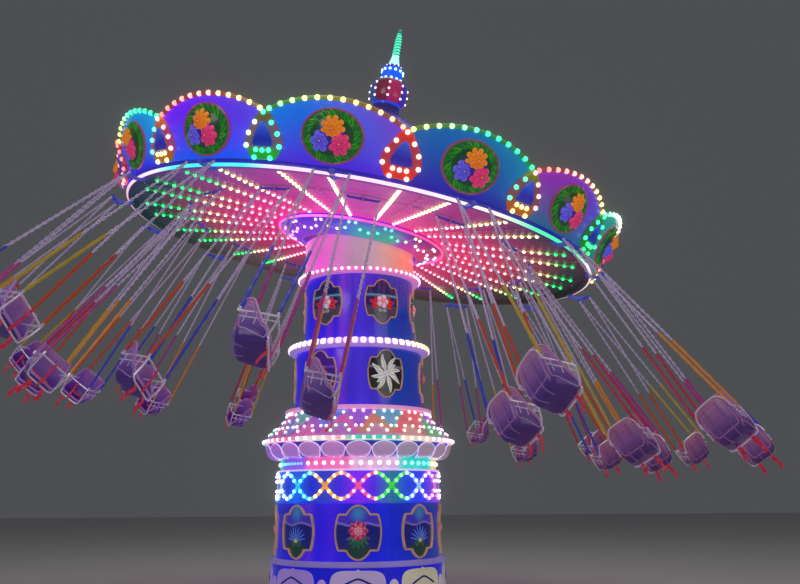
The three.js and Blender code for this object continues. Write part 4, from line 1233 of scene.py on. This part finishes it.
def starOutline(corners):
    # radius at an angle of a closed smooth line through the corners, which goes once round the middle
    line = smoothLine(corners + corners[:1], 12)[:-1]
    angles = np.mod(np.arctan2(line[:, 1], line[:, 0]), turn)

    def radius(angle):
        return np.interp(np.mod(angle, turn), angles, np.hypot(*line.T), period=turn)
    return radius


# Seven designs of a panel, its arch and the cartouche over its start, each of which stands twice on the
# crown: panels are coloured low, middle and at the upper right, arches have bulbs from left to right, and
# cartouches have bulbs on the left, right and foot, then their sides, foot and top.

panelColours = ["1c10a0 0458a8 0478a0", "0a5c88 8028a8 1038d0", "0a7a70 0a9088 2050c0",
                "3010c0 5a18c8 2020d0",
                "2010e0 0064d0 00a0e0", "0450f0 6414f0 4440d8", "4418d8 0868e0 7424c8"]
archColours = ["d0f070 30f098 28e880", "ff6058 ffa098 f0f078", "38f098 f0ffe8 ffb0a8", "ff5868 ff8080 ff7068",
               "f0e058 38f0a8 28f098", "ff6860 ff9088 ffe078", "38f088 f0f070 ff8070"]
cartoucheColours = ["ffc0a0 ffc8b0 ffb8a0 b02848 d81808 e02010", "48f0a0 ffb0a0 f8f080 7a4050 b05008 708008",
                    "38f090 38f090 30e878 186838 108820 109030", "ff9080 ffe080 f8f080 a03030 b06010 c04018",
                    "ff8080 ff7070 ff9090 a82030 c01818 b01818", "58f0b8 ffa8b0 f8f090 a04068 a86008 c86820",
                    "c0ffd8 30f0b8 30f0a8 705068 08a010 605818"]


def makePanels():
    # the closed wall of the fascia: its front face and its back, with 24 columns to a bay
    perBay, foot = 24, crownParts["hoopTop"] + 0.001
    across = np.tile(np.arange(perBay) / perBay, crownParts["bays"])
    azimuth = np.repeat(bayStarts, perBay) + across * bay
    v = np.linspace(0, 1, 12)[:, None]
    height = foot + (archTop(across) - 0.012 - foot) * v
    front, back = panelSurface(azimuth, height, 0.0), panelSurface(azimuth, height[::-1],
                                                                   -crownParts["panel"])
    low, middle, high = np.repeat([tones(codes) for codes in panelColours * 2], perBay, 0).transpose(1, 0, 2)
    tint = mixed(mixed(low, middle, np.clip(v * 1.3, 0, 1)), high, np.clip(across * 1.4 - 0.4, 0, 1) * v)
    tint = np.concatenate([tint, tone("2a2c80") + 0 * back])
    wall = asShape(np.concatenate([front, back]), tint, wrapRows=True)
    addCrownPiece("fascia", [wall], fasciaGel, "blue_fibreglass", ["fascia"])


def makeArches():
    # the moulding along the arches, with its bulbs at equal steps of length
    t = np.linspace(0.0, 1.0, 41)
    c, s = (f(around(8))[:, None] for f in (np.cos, np.sin))
    share = (np.arange(crownParts["archBulbs"]) + 0.5) / crownParts["archBulbs"]
    edges, lights = [], []
    for begin, codes in zip(bayStarts, archColours * 2):
        start, mid, end = tones(codes)
        line = panelSurface(begin + t * bay, archTop(t) - 0.022, 0.0)
        out = panelSurface(begin + t * bay, archTop(t) - 0.022, 1.0) - line
        lift = np.cross(np.gradient(line, axis=0), out)
        lift = lift / np.linalg.norm(lift, axis=1, keepdims=True)
        rows = line[:, None] + 0.030 * c * lift[:, None] + 0.024 * s * out[:, None]
        run = runOf(line)
        places = np.interp(share * run[-1], run, t)
        dim, bright = (mixed(mixed(start, mid, ramp(at, 0, 0.5)), end, ramp(at, 0.5, 0.5))
                       for at in (t, places))
        edges.append(asShape(capped(rows), cappedTint(dim ** 2 * 0.28)))
        lights.append(panelBulbs(begin + places * bay, archTop(places) - 0.022, 0.020, 0.038, bright))
    addCrownPiece("archMouldings", edges, glowPanel, "led_bulb")
    addCrownPiece("archBulbs", lights, bulbLens, "led_bulb")


def dropTint(x, y):
    return mixed(tone("0810b8"), tone("3060f0"), ramp(y, -0.02, 0.18))


def makeCartouches():
    # a bell-shaped cartouche over each joint: narrow top, wide foot, a blue drop in its middle
    centre = 0.38
    bell = starOutline(mirrored([(0.06, -0.285), (0.17, -0.28), (0.225, -0.21), (0.275, -0.12), (0.28, -0.04),
                                 (0.24, 0.06), (0.17, 0.17), (0.09, 0.28), (0.0, 0.345)]))
    drop = starOutline(mirrored([(0.0, -0.125), (0.11, -0.12), (0.15, -0.085), (0.13, -0.01), (0.085, 0.09),
                                 (0.035, 0.17), (0.0, 0.185)]))
    bellLevels = [(0, sunk), (1, sunk), (1, 0.030), (0.97, 0.044), (0.92, 0.050), (0.7, 0.054), (0.4, 0.056),
                  (0, 0.056)]
    dropLevels = [(0, 0.05), (1, 0.05), (1, 0.062), (0.95, 0.072), (0.8, 0.078), (0.6, 0.080), (0.3, 0.083),
                  (0, 0.084)]
    x, y = np.array(mirrored([(0.12, -0.262), (0.095, -0.165), (0.245, -0.115), (0.21, 0.04), (0.12, 0.175),
                              (0, 0.30)]) + [(0, -0.17)]).T
    spots = x / (crownParts["reach"] + crownParts["lean"] * centre)
    ground, drops, lights = [], [], []
    for middle, codes in zip(bayStarts, cartoucheColours * 2):
        left, right, foot, sides, low, high = tones(codes)

        def groundTint(x, y):
            tint = mixed(sides, low, ramp(-y, 0.12, 0.06))
            return mixed(tint, high, ramp(y, 0.16, 0.08))

        ground.append(onPanel(middle, centre, plate(bell, bellLevels, groundTint)))
        drops.append(onPanel(middle, centre, plate(drop, dropLevels, dropTint, count=60)))
        colours = np.where(y[:, None] < -0.14, foot, np.where(x[:, None] < 0, left, right))
        lights.append(panelBulbs(middle + spots, centre + y, 0.052, 0.036, colours))
    addCrownPiece("dropletPlates", ground, corniceGel, "lamp_white")
    addCrownPiece("dropletCentres", drops, glowingGel, "blue_fibreglass")
    addCrownPiece("dropletBulbs", lights, bulbLens, "led_bulb")


# an oval wreath of leaves round three flowers, in a thin frame; a flower is its place, size, petals,
# heart, tips and foot
fasciaMedallion = dict(
    wide=0.415, tall=0.332, height=0.465, leaves=22, leafCodes=("0f8c20", "0a7430", "2c9c14"),
    flowers=[((0.010, 0.100), 0.162, 9, "e05010", "ff9a18", 0.105),
             ((0.125, -0.080), 0.148, 7, "b00850", "ff3c88", 0.110),
             ((-0.130, -0.070), 0.138, 6, "2420c8", "7468ff", 0.100)])


def makeFasciaMedallions():
    wide, tall, height, count = (fasciaMedallion[key] for key in ("wide", "tall", "height", "leaves"))

    def outline(angle):
        return 1 / np.hypot(np.cos(angle) / wide, np.sin(angle) / tall)

    def ground(x, y):
        r = np.hypot(x / wide, y / tall)
        return mixed(mixed(tone("2a1890"), tone("0c4a24"), ramp(r, 0.42, 0.1)), tone("14781c"),
                     ramp(r, 0.75, 0.2))

    section = [(-0.014, sunk), (-0.012, 0.028), (0.0, 0.034), (0.012, 0.026), (0.017, 0.010), (0.018, sunk)]
    border = bead(*outlineOf(outline, 96), section, True)
    # the disc swells towards its middle, and the bouquet stands on it
    levels = [(0, sunk), (0.985, sunk)] + [(s, 0.006 + 0.130 * (1 - s ** 2) ** 1.7)
                                           for s in np.linspace(0.985, 0, 14)]
    disc = plate(outline, levels, ground)
    wreath = [leaf((wide * 0.66 * np.cos(a), tall * 0.66 * np.sin(a)), a + 0.9, 0.155, 0.036, 0.024,
                   fasciaMedallion["leafCodes"][j % 3], "0a3c16", 0.3, foot=0.034)
              for j, a in enumerate(around(count))]
    bouquet = [(place, rosette(size * share, petals, 0.045, heart, tips, spin=ring * np.pi / petals,
                               foot=foot + 0.022 * ring, count=72, rows=7, depth=0.3))
               for place, size, petals, heart, tips, foot in fasciaMedallion["flowers"]
               for ring, share in enumerate((1.0, 0.68, 0.38))]
    middles = bayStarts + bay / 2
    for name, finish, slot, ornaments in (
            ("Frames", lilacFrame, "lilac_fibreglass", [((0, 0), border)]),
            ("Plates", fasciaArt, "medallion_art", [((0, 0), disc)]),
            ("Leaves", fasciaArt, "medallion_art", [((0, 0), green) for green in wreath]),
            ("Flowers", fasciaArt, "medallion_art", bouquet)):
        shapes = [onPanel(middle, height, ornament, place)
                  for middle in middles for place, ornament in ornaments]
        addCrownPiece("fasciaMedallion" + name, shapes, finish, slot)


def makeFascia():
    makePanels()
    makeArches()
    makeCartouches()
    makeFasciaMedallions()
    print("fascia dressed")


roofParts = dict(foot=0.091, eave=0.42, top=2.6, reach=3.98, cap=0.26, thickness=0.05, ribs=28, sides=112,
                 slope=[(2.4, 1.30), (1.2, 2.02)])


def makeRoof():
    # a cone of fibreglass sheets with a rib over each joint and a wall under its eave
    keys = ("foot", "eave", "top", "reach", "cap", "thickness")
    foot, eave, top, reach, cap, wall = (roofParts[key] for key in keys)
    profile = smoothLine([(reach - 0.01, eave + 0.006), *roofParts["slope"], (cap, top)], 8)
    skin = [(0, top - wall), (cap - 0.04, top - wall), (reach - wall, eave - 0.03), (reach - wall, foot),
            (reach, foot), (reach, eave), *profile, (0, top)]
    addCrownPiece("roof", [turned(skin, sides=roofParts["sides"])], roofGel, "roof_skin", ["roof"])
    run = np.linspace(0.02, runOf(profile)[-1] - 0.02, 30)
    section = np.array(halfRound(0.02, 0.018, -0.006, 5)) * (1, -1)
    ribs = [asShape(stripOn(profile, azimuth, run, section))
            for azimuth in bayStarts[0] + around(roofParts["ribs"])]
    addCrownPiece("roofRibs", ribs, roofGel, "roof_skin")
    print("roof dressed")


spireParts = dict(
    sides=96, columns=8, rungs=(0.10, 0.23, 0.36), turretBulbs=12, hornFoot=3.80, hornTop=4.245,
    twistPitch=0.058, facets="c02090 e81c20 6a20c0 a0501c 1060a0 801838 c02060 4030c0",
    neck=[(0, 2.601), (0.272, 2.601), (0.278, 2.615), (0.262, 2.64), (0.255, 2.66), (0.255, 2.735),
          (0.264, 2.745), (0.264, 2.785), (0.255, 2.79), (0, 2.79)],
    lantern=[(0.275, 2.7905), (0.325, 2.845), (0.345, 2.93), (0.345, 3.05), (0.335, 3.14), (0.30, 3.215),
             (0.285, 3.23)],
    turret=[(0, 3.2305), (0.20, 3.2305), (0.206, 3.24), (0.206, 3.265), (0.196, 3.275), (0.196, 3.47),
            (0.206, 3.48), (0.206, 3.51), (0.20, 3.52), (0, 3.52)],
    collar=[(0.09, 3.53), (0.15, 3.53), (0.158, 3.545), (0.15, 3.575), (0.11, 3.585), (0.09, 3.585)],
    flare=[(0.12, 3.5205), (0.125, 3.55), (0.105, 3.62), (0.082, 3.71), (0.062, 3.80)],
    finial=[(0.014, 4.335), (0.010, 4.36), (0, 4.369)])


def makeSpire():
    parts = spireParts
    sides = parts["sides"]
    neckTint = mixed(tone("141878"), tone("2050ff"), np.array(parts["neck"])[:, 1] > 2.74)[:, None]
    addCrownPiece("spireNeck", [turned(parts["neck"], neckTint, sides)], glowingGel, "blue_fibreglass",
                  ["spire_neck"])

    # the lantern has eight facets of their own colours, with a column of bulbs between each two
    wall = smoothLine(parts["lantern"], 4)
    facet = np.floor(around(sides) / turn * parts["columns"]).astype(int)
    lantern = turned([(0, wall[0, 1]), *wall, (0, wall[-1, 1])], tones(parts["facets"])[facet], sides)
    addCrownPiece("spireLantern", [lantern], glowingGel, "lantern_red", ["spire_lantern"])
    bulbs = [bulbsOn(wall, around(parts["columns"])[:, None], np.array(parts["rungs"]), 0.022,
                     tone("ffc8e8"))]

    # the turret: a lit band between two rows of bulbs, and a dark collar with small bulbs
    addCrownPiece("spireTurret", [turned(parts["turret"], tone("0c58ff"), 64)], loopGel, "blue_fibreglass",
                  ["spire_turret"])
    addCrownPiece("spireCollar", [turned(parts["collar"], tone("14186c"), 48)], glowingGel, "blue_fibreglass")
    spots = around(parts["turretBulbs"])
    band = [(0.20, 3.23), (0.20, 3.52)]
    bulbs += [bulbsOn(band, spots, 0.05, 0.024, tone("a0f4ff")),
              bulbsOn(band, spots + 0.26, 0.225, 0.024, tone("b8ffff")),
              bulbsOn(parts["collar"][2:4], spots + 0.1, 0.015, 0.013, tone("ffb8d0"))]
    addCrownPiece("spireBulbs", bulbs, bulbLens, "led_bulb")
    flare = smoothLine(parts["flare"], 4)
    addCrownPiece("spireFlare", [turned([(0, flare[0, 1]), *flare, (0, flare[-1, 1])], tone("b0ffe0"), 48)],
                  mintGlow, "spire_green", ["spire_flare"])

    # the horn: radius = taper (1 + 0.15 cos(angle - angle of the twist)), with a ball and a finial on top
    foot, top = parts["hornFoot"], parts["hornTop"]
    z = np.concatenate([[foot + 0.0005], np.linspace(foot + 0.0005, top, 120), [top]])[:, None]
    taper = np.interp(z, [foot, 4.10, top], [0.062, 0.056, 0.040])
    taper[[0, -1]] = 0
    ridge = np.cos(around(24) - (z - foot) / parts["twistPitch"] * turn)
    grid = polar(taper * (1 + 0.15 * ridge), around(24), z)
    # the twist's ridges are painted lighter and its grooves darker: a painted highlight and painted shade
    tint = mixed(tone("109078"), tone("60ffc8"), 0.5 + 0.5 * ridge)
    ball = [(0, 4.235), *arc((0, 4.285), 0.047, -75, 65, 12), *parts["finial"]]
    addCrownPiece("spireTip", [asShape(grid, tint), turned(ball, tone("1f6878"), 24)], mintGlow,
                  "spire_green", ["spire_tip"])
    print("spire dressed")


makeHub()
makeCeiling()
makeHangerRings()
makeFascia()
makeRoof()
makeSpire()


# Chairs. One is worked out in its own frame: bar along Y, the way the rider faces, chains down -Z. Its seat
# has its arms at z = 0 and is lowered by the length of the chains.

chairParts = dict(
    circles=dict(inner=dict(radius=3.045, height=0.045, chain=3.60, pull=0.67, first=-89.0 * degree),
                 outer=dict(radius=crownParts["hangerReach"], height=crownParts["hangerHeight"], chain=3.38,
                            pull=0.87, first=crownParts["outerFirst"])),
    barHalf=0.255, chainAtBar=0.24, halfWidth=0.2275, halfDepth=0.19, bareShare=0.62, linkPitch=0.052,
    linkGuide=(0.2, 0.9, 0.1), sleeveGuide=(0.3, 0.9, 0.1), seatHalf=0.236, seatDeep=0.20, seatDrop=0.30,
    backRise=0.20, sideDrop=0.155, pairs="e09030 b83890 3a48d0 d05028 c8a838 c02c50")


def linkShape(pitch):
    # an oval link of round wire, every other one turned by a quarter
    angle = around(8)
    path = np.stack([0.0130 * np.sin(angle), 0 * angle, 0.60 * pitch * np.cos(angle)], -1)
    return tube(path, 0.0075, sides=4, closed=True, across=(0, 1, 0))


def makeChains(length, colours):
    # four chains from the bar to the arms: bare links, then a coloured sleeve, and a shackle at each end
    parts = chairParts
    pitch, bareShare, guide = parts["linkPitch"], parts["bareShare"], parts["sleeveGuide"]
    link = linkShape(pitch)
    bare, sleeves, shackles = [], [], []
    for number, (across, end) in enumerate(((-1, -1), (-1, 1), (1, -1), (1, 1))):
        top = np.array([0, end * parts["chainAtBar"], 0])
        run = np.array([across * parts["halfWidth"], end * parts["halfDepth"], -length]) - top
        whole = np.linalg.norm(run)
        steps = np.arange(int(whole * bareShare / pitch))[:, None]
        spots = top + run / whole * (0.03 + steps * pitch)
        axes = axesAlong(np.broadcast_to(run, spots.shape), parts["linkGuide"])
        first, second, along = np.moveaxis(axes, -1, 0)
        odd = steps % 2 == 1
        axes = np.stack([np.where(odd, second, first), np.where(odd, -first, second), along], -1)
        bare.append(copies(link, spots, axes, 1.0))
        t = np.linspace(bareShare - 0.004, 0.985, 26)
        swell = 0.0200 + 0.0026 * np.sin(t * 90 + number) + 0.0018 * np.sin(t * 233 + 2 * number)
        swell[[0, -1]] = 0.016
        sleeves.append(tube(top + run * t[:, None], swell, tone(colours[number]), across=guide))
        for shares, radii in (((0.984, 0.990, 1.0), (0.014, 0.018, 0.012)),
                              ((0, 0.004, 0.010), (0.014, 0.016, 0.010))):
            shackles.append(tube(top + run * np.array(shares)[:, None], radii, across=guide))
    return merged(bare), merged(sleeves), merged(shackles)


def bowlSurface(angle, v, grow=1.0, drop=0.028):
    # a bucket: a rounded square path, high at the back and low at the front, closing to the pan;
    # reach from the middle = cos(v)^0.32, depth = sin(v)^0.75, with v from the rim to the middle of the pan
    seatDrop, sideDrop = chairParts["seatDrop"], chairParts["sideDrop"]
    across, ahead = (np.sign(line) * np.abs(line) ** (2 / 4.5) for line in (np.cos(angle), np.sin(angle)))
    backness = ramp(-ahead, -0.55, 1.1)
    backness = backness ** 2 * (3 - 2 * backness)
    rim = backness * (sideDrop + chairParts["backRise"]) - sideDrop \
        - ramp(ahead, 0.55, 0.4) * (seatDrop - sideDrop - 0.03)
    inward, down = np.cos(v) ** 0.32, np.sin(v) ** 0.75
    lean = -0.03 * np.clip(rim + seatDrop - 0.2, 0, 1) * (1 - down)
    x = chairParts["seatHalf"] * across * inward * grow
    y = (chairParts["seatDeep"] * ahead + lean) * inward * grow
    return np.stack(np.broadcast_arrays(x, y, rim * (1 - down) - (seatDrop + drop) * down), -1)


def seatBowl():
    angle, v = around(56), np.linspace(0, np.pi / 2, 15)[:, None]
    inner, outer = bowlSurface(angle, v, 0.955, 0.0), bowlSurface(angle, v)
    lip = (inner[:1] + outer[:1]) / 2 + [0, 0, 0.012]
    grid = np.concatenate([outer[::-1], lip, inner])
    # the shell's lilac with painted shade and light: deep violet at its foot, paler and pinker towards its
    # rim
    up = ramp(grid[..., 2], -chairParts["seatDrop"], chairParts["seatDrop"] + chairParts["backRise"])
    foot, middle, rim = tones("5a3ca0 a078d8 d09ccc")
    colour = mixed(mixed(foot, middle, np.clip(up * 2.2, 0, 1)), rim, np.clip(up * 1.6 - 0.6, 0, 1))
    return asShape(grid, colour), outer[0]


def makeSeat():
    bowl, rim = seatBowl()
    shapes = [bowl, tube(rim * [1.01, 1.01, 1] + [0, 0, 0.004], 0.013, tone("e0b0e0"), closed=True)]
    for x in (-0.085, 0.085):
        # ribs pressed in the back of the shell
        path = smoothLine([(x, -0.203, 0.15), (x, -0.205, -0.10), (x * 0.9, -0.18, -0.285),
                           (x * 0.7, -0.06, -0.328)], 6)
        shapes.append(tube(path, 0.010, tone("9c78d0"), sides=6, across=(1, 0, 0)))
    # a raised line round the panel on each face: a rounded oblong in angle and depth
    c, s = np.cos(around(40)), np.sin(around(40))
    corner = (np.abs(c) ** 5 + np.abs(s) ** 5) ** (-1 / 5)
    for middle in around(4):
        line = bowlSurface(middle + 0.60 * corner * c, 0.47 - 0.36 * corner * s)
        shapes.append(tube(line, 0.0075, tone("d0a8e8"), sides=6, closed=True))
    return merged(shapes)


def makeRails():
    # rails from front to back on each side with their posts, and three between the sides
    half, deep = chairParts["halfWidth"], chairParts["halfDepth"]
    rails = []
    for x in (-half, half):
        loop = [(x, -deep - 0.012, 0.02), (x, -deep, 0), (x, 0, 0.004), (x, deep, 0),
                (x, deep + 0.014, -0.02), (x * 0.99, deep + 0.006, -0.16), (x * 0.94, deep - 0.02, -0.27)]
        rails.append(tube(smoothLine(loop, 5), 0.0125, across=(1, 0, 0)))
        for y in (-0.11, 0.0, 0.11):
            post = [(x, y, 0.002), (x * 1.015, y, -0.08), (x * 1.015, y, -0.17)]
            rails.append(tube(post, 0.007, sides=6, across=(0, 1, 0)))
        lower = [(x * 1.02, -deep * 0.9, -0.085), (x * 1.025, 0, -0.085), (x * 1.02, deep, -0.085)]
        rails.append(tube(smoothLine(lower, 5), 0.008, sides=6, across=(1, 0, 0)))
    bar = [(-1, deep, 0), (-0.7, deep + 0.012, -0.004), (0, deep + 0.016, -0.006)]
    back = [(-1, -deep - 0.012, 0), (-0.9, -deep - 0.024, 0.12), (-0.6, -deep - 0.028, 0.195),
            (0, -deep - 0.03, 0.205)]
    foot = [(-0.94, deep - 0.02, -0.27), (-0.8, deep, -0.325), (0, deep + 0.004, -0.332)]
    for left, radius, guide in ((bar, 0.0125, (0, 0, 1)), (back, 0.0115, (0, 1, 0)),
                                (foot, 0.0115, (0, 0, 1))):
        line = left + [(-x, y, z) for x, y, z in left[-2::-1]]
        rails.append(tube(smoothLine(np.array(line) * (half, 1, 1), 5), radius, across=guide))
    return merged(rails)


def strapShape(path, width, across):
    # a flat strap: two faces 3 mm apart carried along a smooth path
    path = smoothLine(path, 6)
    flat = np.cross(np.gradient(path, axis=0), across)
    flat = flat / np.linalg.norm(flat, axis=1, keepdims=True) * 0.0015
    half = np.array(across) * width / 2
    rows = np.stack([path + half + flat, path + half - flat, path - half - flat, path - half + flat], 1)
    return asShape(capped(rows))


def makeStraps():
    # one strap from the front bar down to the pan, one over the lap, and two loose ends
    deep = chairParts["halfDepth"]
    crotch = [(0, deep + 0.032, 0.004), (0, deep + 0.034, -0.12), (0, deep + 0.030, -0.27),
              (0, deep + 0.016, -0.345)]
    lap = [(-0.205, -0.16, -0.20), (-0.12, 0.0, -0.21), (0.02, 0.03, -0.225), (0.13, -0.02, -0.20),
           (0.205, -0.16, -0.18)]
    shapes = [strapShape(crotch, 0.034, (1, 0, 0)), strapShape(lap, 0.034, (0, 0, 1))]
    for side in (-1, 1):
        x = side * 0.105
        tail = [(x, deep - 0.02, -0.335), (x * 1.05, deep + 0.01, -0.40), (x * 1.2, deep - 0.02, -0.48),
                (x * 1.15, deep - 0.05, -0.55 - 0.04 * side)]
        shapes.append(strapShape(tail, 0.05, (1, 0, 0)))
    return merged(shapes)


def makeBar():
    # the bar that turns in its hanger, with a collar on each side of it and an eye at each end
    end = chairParts["barHalf"]
    path = [(0, y, 0) for y in (-end, -end + 0.006, -0.05, 0.05, end - 0.006, end)]
    shapes = [tube(path, (0.012, 0.0185, 0.0185, 0.0185, 0.0185, 0.012), sides=12, across=(1, 0, 0))]
    for y in (-0.042, 0.042, -chairParts["chainAtBar"], chairParts["chainAtBar"]):
        collar = [(0, y + step, 0) for step in (-0.012, -0.010, 0.010, 0.012)]
        shapes.append(tube(collar, (0.024, 0.027, 0.027, 0.024), sides=14, across=(1, 0, 0)))
    return merged(shapes)


def makeChairs():
    lean, bearing = np.arccos(crownAxis.z), np.arctan2(crownAxis.y, crownAxis.x)
    pairs = chairParts["pairs"].split()
    seatParts, bar = (makeSeat(), makeRails(), makeStraps()), makeBar()
    for circle, settings in chairParts["circles"].items():
        length = settings["chain"]
        seat, rails, straps = (moved(part, np.eye(3), (0, 0, -length)) for part in seatParts)
        for k, azimuth in enumerate(settings["first"] + around(crownParts["bays"])):
            # a chair is thrown out by the turning crown, less on the side that is up
            throw = np.arctan2(settings["pull"] + np.sin(lean) * np.cos(azimuth - bearing), np.cos(lean))
            c, s = np.cos(throw), np.sin(throw)
            matrix = crownTurn @ aboutZ(azimuth) @ np.array([[c, 0, -s], [0, 1, 0], [s, 0, c]])
            place = matrix, leant(polar(settings["radius"], azimuth, settings["height"]))
            label = f"{circle}_{k + 1:02d}"
            body = "chair_" + label
            shift = k * 2 + (circle == "outer")
            colours = [pairs[(shift + j // 2) % len(pairs)] for j in range(4)]
            links, sleeves, shackles = makeChains(length, colours)
            points, quads, paint = moved(seat, *place)
            # each seat's colour is multiplied by a painted light that changes round the ring with where it
            # hangs
            paint = paint * roundTheRing("-180 e0d0ff -90 fff0ff -30 ffd8d8 30 ffd0c8 120 e8c8ff", azimuth)
            addPiece("seat_" + label, [(points, quads, paint)], seatPlastic, body, "chair_plastic", [body])
            addPiece("rails_" + label, [moved(rails, *place), moved(shackles, *place)], chrome, body,
                     "chair_rail")
            addPiece("chains_" + label, [moved(links, *place)], chainZinc, body, "chain_steel", crease=60)
            addPiece("sleeves_" + label, [moved(sleeves, *place)], sleevePlastic, body, "chain_sleeve")
            addPiece("straps_" + label, [moved(straps, *place)], redWebbing, body, "seat_strap")
            addPiece("bar_" + label, [moved(bar, *place)], blueSteel, body, "galvanised_steel")
    print("chairs dressed")


makeChairs()


# Studio

studio = dict(floorHalf=60, floor=("d9d6d2", "b8b4b0"), sky=(0.62, 0.64, 0.70), skyStrength=0.12,
              lights=[("key", (-9, -16, 13), 9, 420), ("fill", (12, -12, 7), 9, 180),
                      ("top", (2, 4, 22), 14, 700)],
              halo=dict(Threshold=0.85, Strength=0.38, Size=0.35))


def makeStudio():
    finish = Finish("floorFinish", Roughness=0.6)
    speckle = finish.spread(finish.noise(3.0, 6.0, 0.6), 0.3, 0.7, 0.0, 0.12)
    finish.paint(finish.blend(speckle, *(tone(code) for code in studio["floor"])))
    half = studio["floorHalf"]
    mesh = bpy.data.meshes.new("floor")
    mesh.from_pydata([(-half, -half, 0), (half, -half, 0), (half, half, 0), (-half, half, 0)], [],
                     [(0, 1, 2, 3)])
    mesh.materials.append(finish.material)
    inScene("floor", mesh)
    world = bpy.data.worlds.new("studio")
    bpy.context.scene.world = world
    world.use_nodes = True
    background = world.node_tree.nodes["Background"]
    background.inputs["Color"].default_value = (*studio["sky"], 1.0)
    background.inputs["Strength"].default_value = studio["skyStrength"]
    for name, place, size, power in studio["lights"]:
        data = bpy.data.lights.new(name, "AREA")
        data.shape = "DISK"
        data.size = size
        data.energy = power
        light = inScene(name, data)
        light.location = place
        light.rotation_mode = "QUATERNION"
        light.rotation_quaternion = (Vector((0, 0, 4)) - Vector(place)).to_track_quat("-Z", "Y")


def makeHalo(settings):
    # lit bulbs get the soft halo that a lens gives them
    scene = bpy.context.scene
    scene.view_settings.view_transform = "Standard"
    scene.use_nodes = True
    tree = scene.node_tree
    tree.nodes.clear()
    layers = tree.nodes.new("CompositorNodeRLayers")
    halo = tree.nodes.new("CompositorNodeGlare")
    halo.glare_type = "BLOOM"
    halo.quality = "HIGH"
    for name, value in settings.items():
        halo.inputs[name].default_value = value
    output = tree.nodes.new("CompositorNodeComposite")
    tree.links.new(layers.outputs["Image"], halo.inputs["Image"])
    tree.links.new(halo.outputs["Image"], output.inputs["Image"])


makeStudio()
makeHalo(studio["halo"])
print("studio lit")
